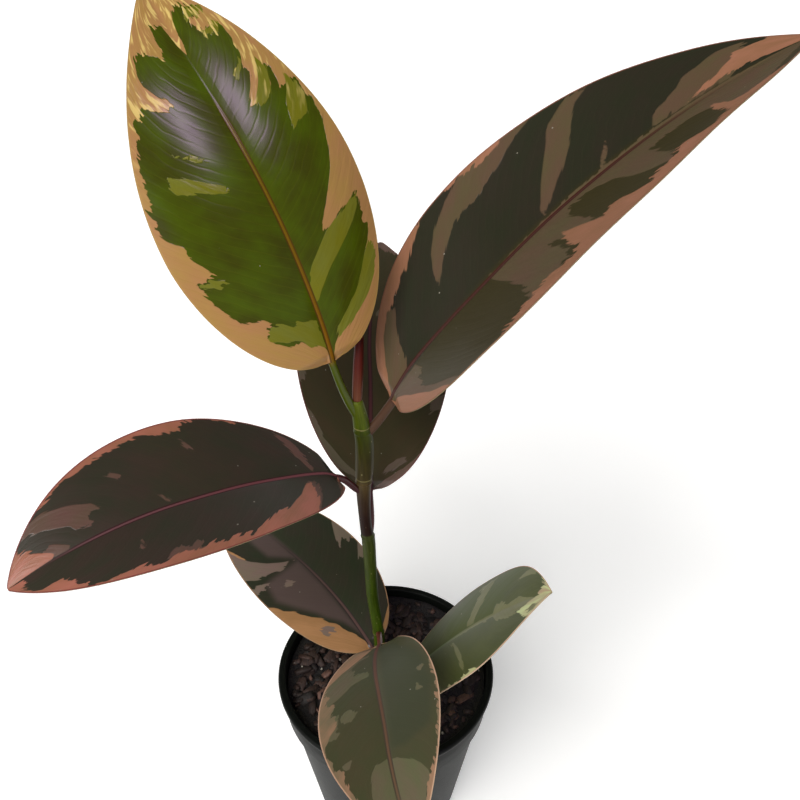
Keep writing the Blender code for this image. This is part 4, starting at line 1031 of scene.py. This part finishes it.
def bedFinish():
    # Peat and fine bark, sieved: near black crumbs that scatter the light
    material, add = newMaterial("damp_peat")
    place = add("TexCoord").outputs["Object"]
    crumb = add("TexVoronoi", {"Vector": place, "Scale": 1 / (1.6 * mm), "Randomness": 1.0})
    fine = add("TexNoise", {"Vector": place, "Scale": 1 / (0.9 * mm), "Detail": 5.0})
    tone = add("Math", {0: crumb, 1: fine}, operation="MULTIPLY")
    share = add("MapRange", {"Value": tone, "From Min": 0.1, "From Max": 0.45})
    colour = add("Mix", {0: share, 6: hexColour(mix["bed"]), 7: hexColour(mix["bedDamp"])}, **rgba)
    bump = add("Bump", {"Height": tone, "Distance": 0.8 * mm, "Strength": 1.0}, invert=True)
    closeMaterial(add, {"Base Color": colour, "Roughness": 0.85, "Normal": bump})
    return material


def barkFinish():
    # Pine bark, chipped: each chip has its own brown, with darker grain along it
    material, add = newMaterial("chipped_pine_bark")
    toneParts = add("SeparateXYZ", {0: add("Attribute", attribute_name="chipTone").outputs["Vector"]})
    place = add("TexCoord").outputs["Object"]
    grainMap = add("Mapping", {"Vector": place, "Rotation": (0.3, 0.5, 0.8),
                               "Scale": (1500.0, 350.0, 1500.0)})
    grain = add("TexNoise", {"Vector": grainMap, "Scale": 1.0, "Detail": 4.0})
    first = add("Mix", {0: toneParts.outputs["X"], 6: hexColour(mix["barkDeep"]), 7: hexColour(mix["bark"])},
                **rgba)
    pale = add("MapRange", {"Value": toneParts.outputs["Y"], "From Min": 0.8, "From Max": 1.0,
                            "To Max": 0.85})
    second = add("Mix", {0: pale, 6: first, 7: hexColour(mix["barkPale"])}, **rgba)
    colour = mottle(add, second, grain, 0.55, 1.35)
    bump = add("Bump", {"Height": grain, "Distance": 0.3 * mm, "Strength": 1.0})
    closeMaterial(add, {"Base Color": colour, "Roughness": 0.7, "Normal": bump})
    return material


def grainFinish():
    # Pumice and perlite, crushed: pale, matt and pitted
    material, add = newMaterial("crushed_pumice")
    place = add("TexCoord").outputs["Object"]
    pits = add("TexNoise", {"Vector": place, "Scale": 1 / (0.5 * mm), "Detail": 4.0})
    colour = mottle(add, hexColour(mix["grain"]), pits, 0.45, 1.1)
    bump = add("Bump", {"Height": pits, "Distance": 0.3 * mm, "Strength": 1.0})
    closeMaterial(add, {"Base Color": colour, "Roughness": 0.8, "Normal": bump})
    return material


chance = random.Random(mix["seed"])
finishPiece(bedSolid(), "mix_bed", ["potting_mix"], [bedFinish()])
chipShape = dict(length=mix["chipLength"], width=(0.35, 0.7), thick=mix["chipThick"], tilt=mix["tilt"],
                 round=0.5)
finishPiece(scatter("bark_chips", mix["chips"], chipShape, chance), "bark_chips", [],
            [barkFinish()])
grainShape = dict(length=mix["grainSize"], width=(0.7, 1.0), thick=mix["grainSize"], tilt=60, round=0.9)
finishPiece(scatter("mineral_grains", mix["grains"], grainShape, chance), "mineral_grains", [],
            [grainFinish()])
print("pot filled")

# Plain pale floor that glows a little, and soft light: a broad key from the front left, a cool window
# at the right
studio = dict(floorSize=6.0, floorColour="f8f8f7", glow=0.32, horizon=0.4, overhead=0.1, bright=0.1, dim=0.55,
              aim=(-0.05, 0.03, 0.33))
bm = bmesh.new()
bmesh.ops.create_grid(bm, x_segments=1, y_segments=1, size=studio["floorSize"])
floorMesh = meshFrom(bm, "floor")
floor = bpy.data.objects.new("floor", floorMesh)
bpy.context.scene.collection.objects.link(floor)
material, add = newMaterial("floor_paper")
closeMaterial(add, {"Base Color": hexColour(studio["floorColour"]), "Roughness": 0.9,
                    "Emission Color": (1, 1, 1, 1), "Emission Strength": studio["glow"]})
floorMesh.materials.append(material)

# heading and slope in degrees towards the lamp, its distance in metres, its size in metres or degrees
lamps = {
    "key": dict(kind="SUN", heading=-125, slope=48, away=3.0, size=40, power=3.1, colour="fffdfb"),
    "fill": dict(kind="SUN", heading=-92, slope=28, away=3.0, size=40, power=0.4, colour="fafaff"),
    "window": dict(kind="AREA", heading=-40, slope=47, away=1.6, size=(0.2, 0.36), power=4.2, colour="f3cbff"),
}
for name, lamp in lamps.items():
    data = bpy.data.lights.new(name, lamp["kind"])
    data.energy = lamp["power"]
    data.color = hexColour(lamp["colour"])[:3]
    if lamp["kind"] == "SUN":
        data.angle = math.radians(lamp["size"])
    else:
        data.shape = "RECTANGLE"
        data.size, data.size_y = lamp["size"]
    item = bpy.data.objects.new(name, data)
    item.visible_diffuse = lamp["kind"] == "SUN"  # the window only glints in the waxy skins
    towards = Vector(direction(np.float64(lamp["heading"]), np.float64(lamp["slope"])))
    item.location = Vector(studio["aim"]) + towards * lamp["away"]
    item.rotation_euler = towards.to_track_quat("Z", "Y").to_euler()
    bpy.context.scene.collection.objects.link(item)

world = bpy.data.worlds.new("studio_air")
bpy.context.scene.world = world
world.use_nodes = True
world.node_tree.nodes.clear()
add = partial(addNode, world.node_tree)
ray = add("TexCoord").outputs["Generated"]
slope = add("SeparateXYZ", {0: ray}).outputs["Z"]
level = add("MapRange", {"Value": slope, "From Min": studio["bright"], "From Max": studio["dim"],
                         "To Min": studio["horizon"], "To Max": studio["overhead"]}, **softStep)
air = add("Background", {"Color": (1, 1, 1, 1), "Strength": level})
add("OutputWorld", {"Surface": air})
bpy.context.scene.view_settings.view_transform = "Standard"
print("studio lit")
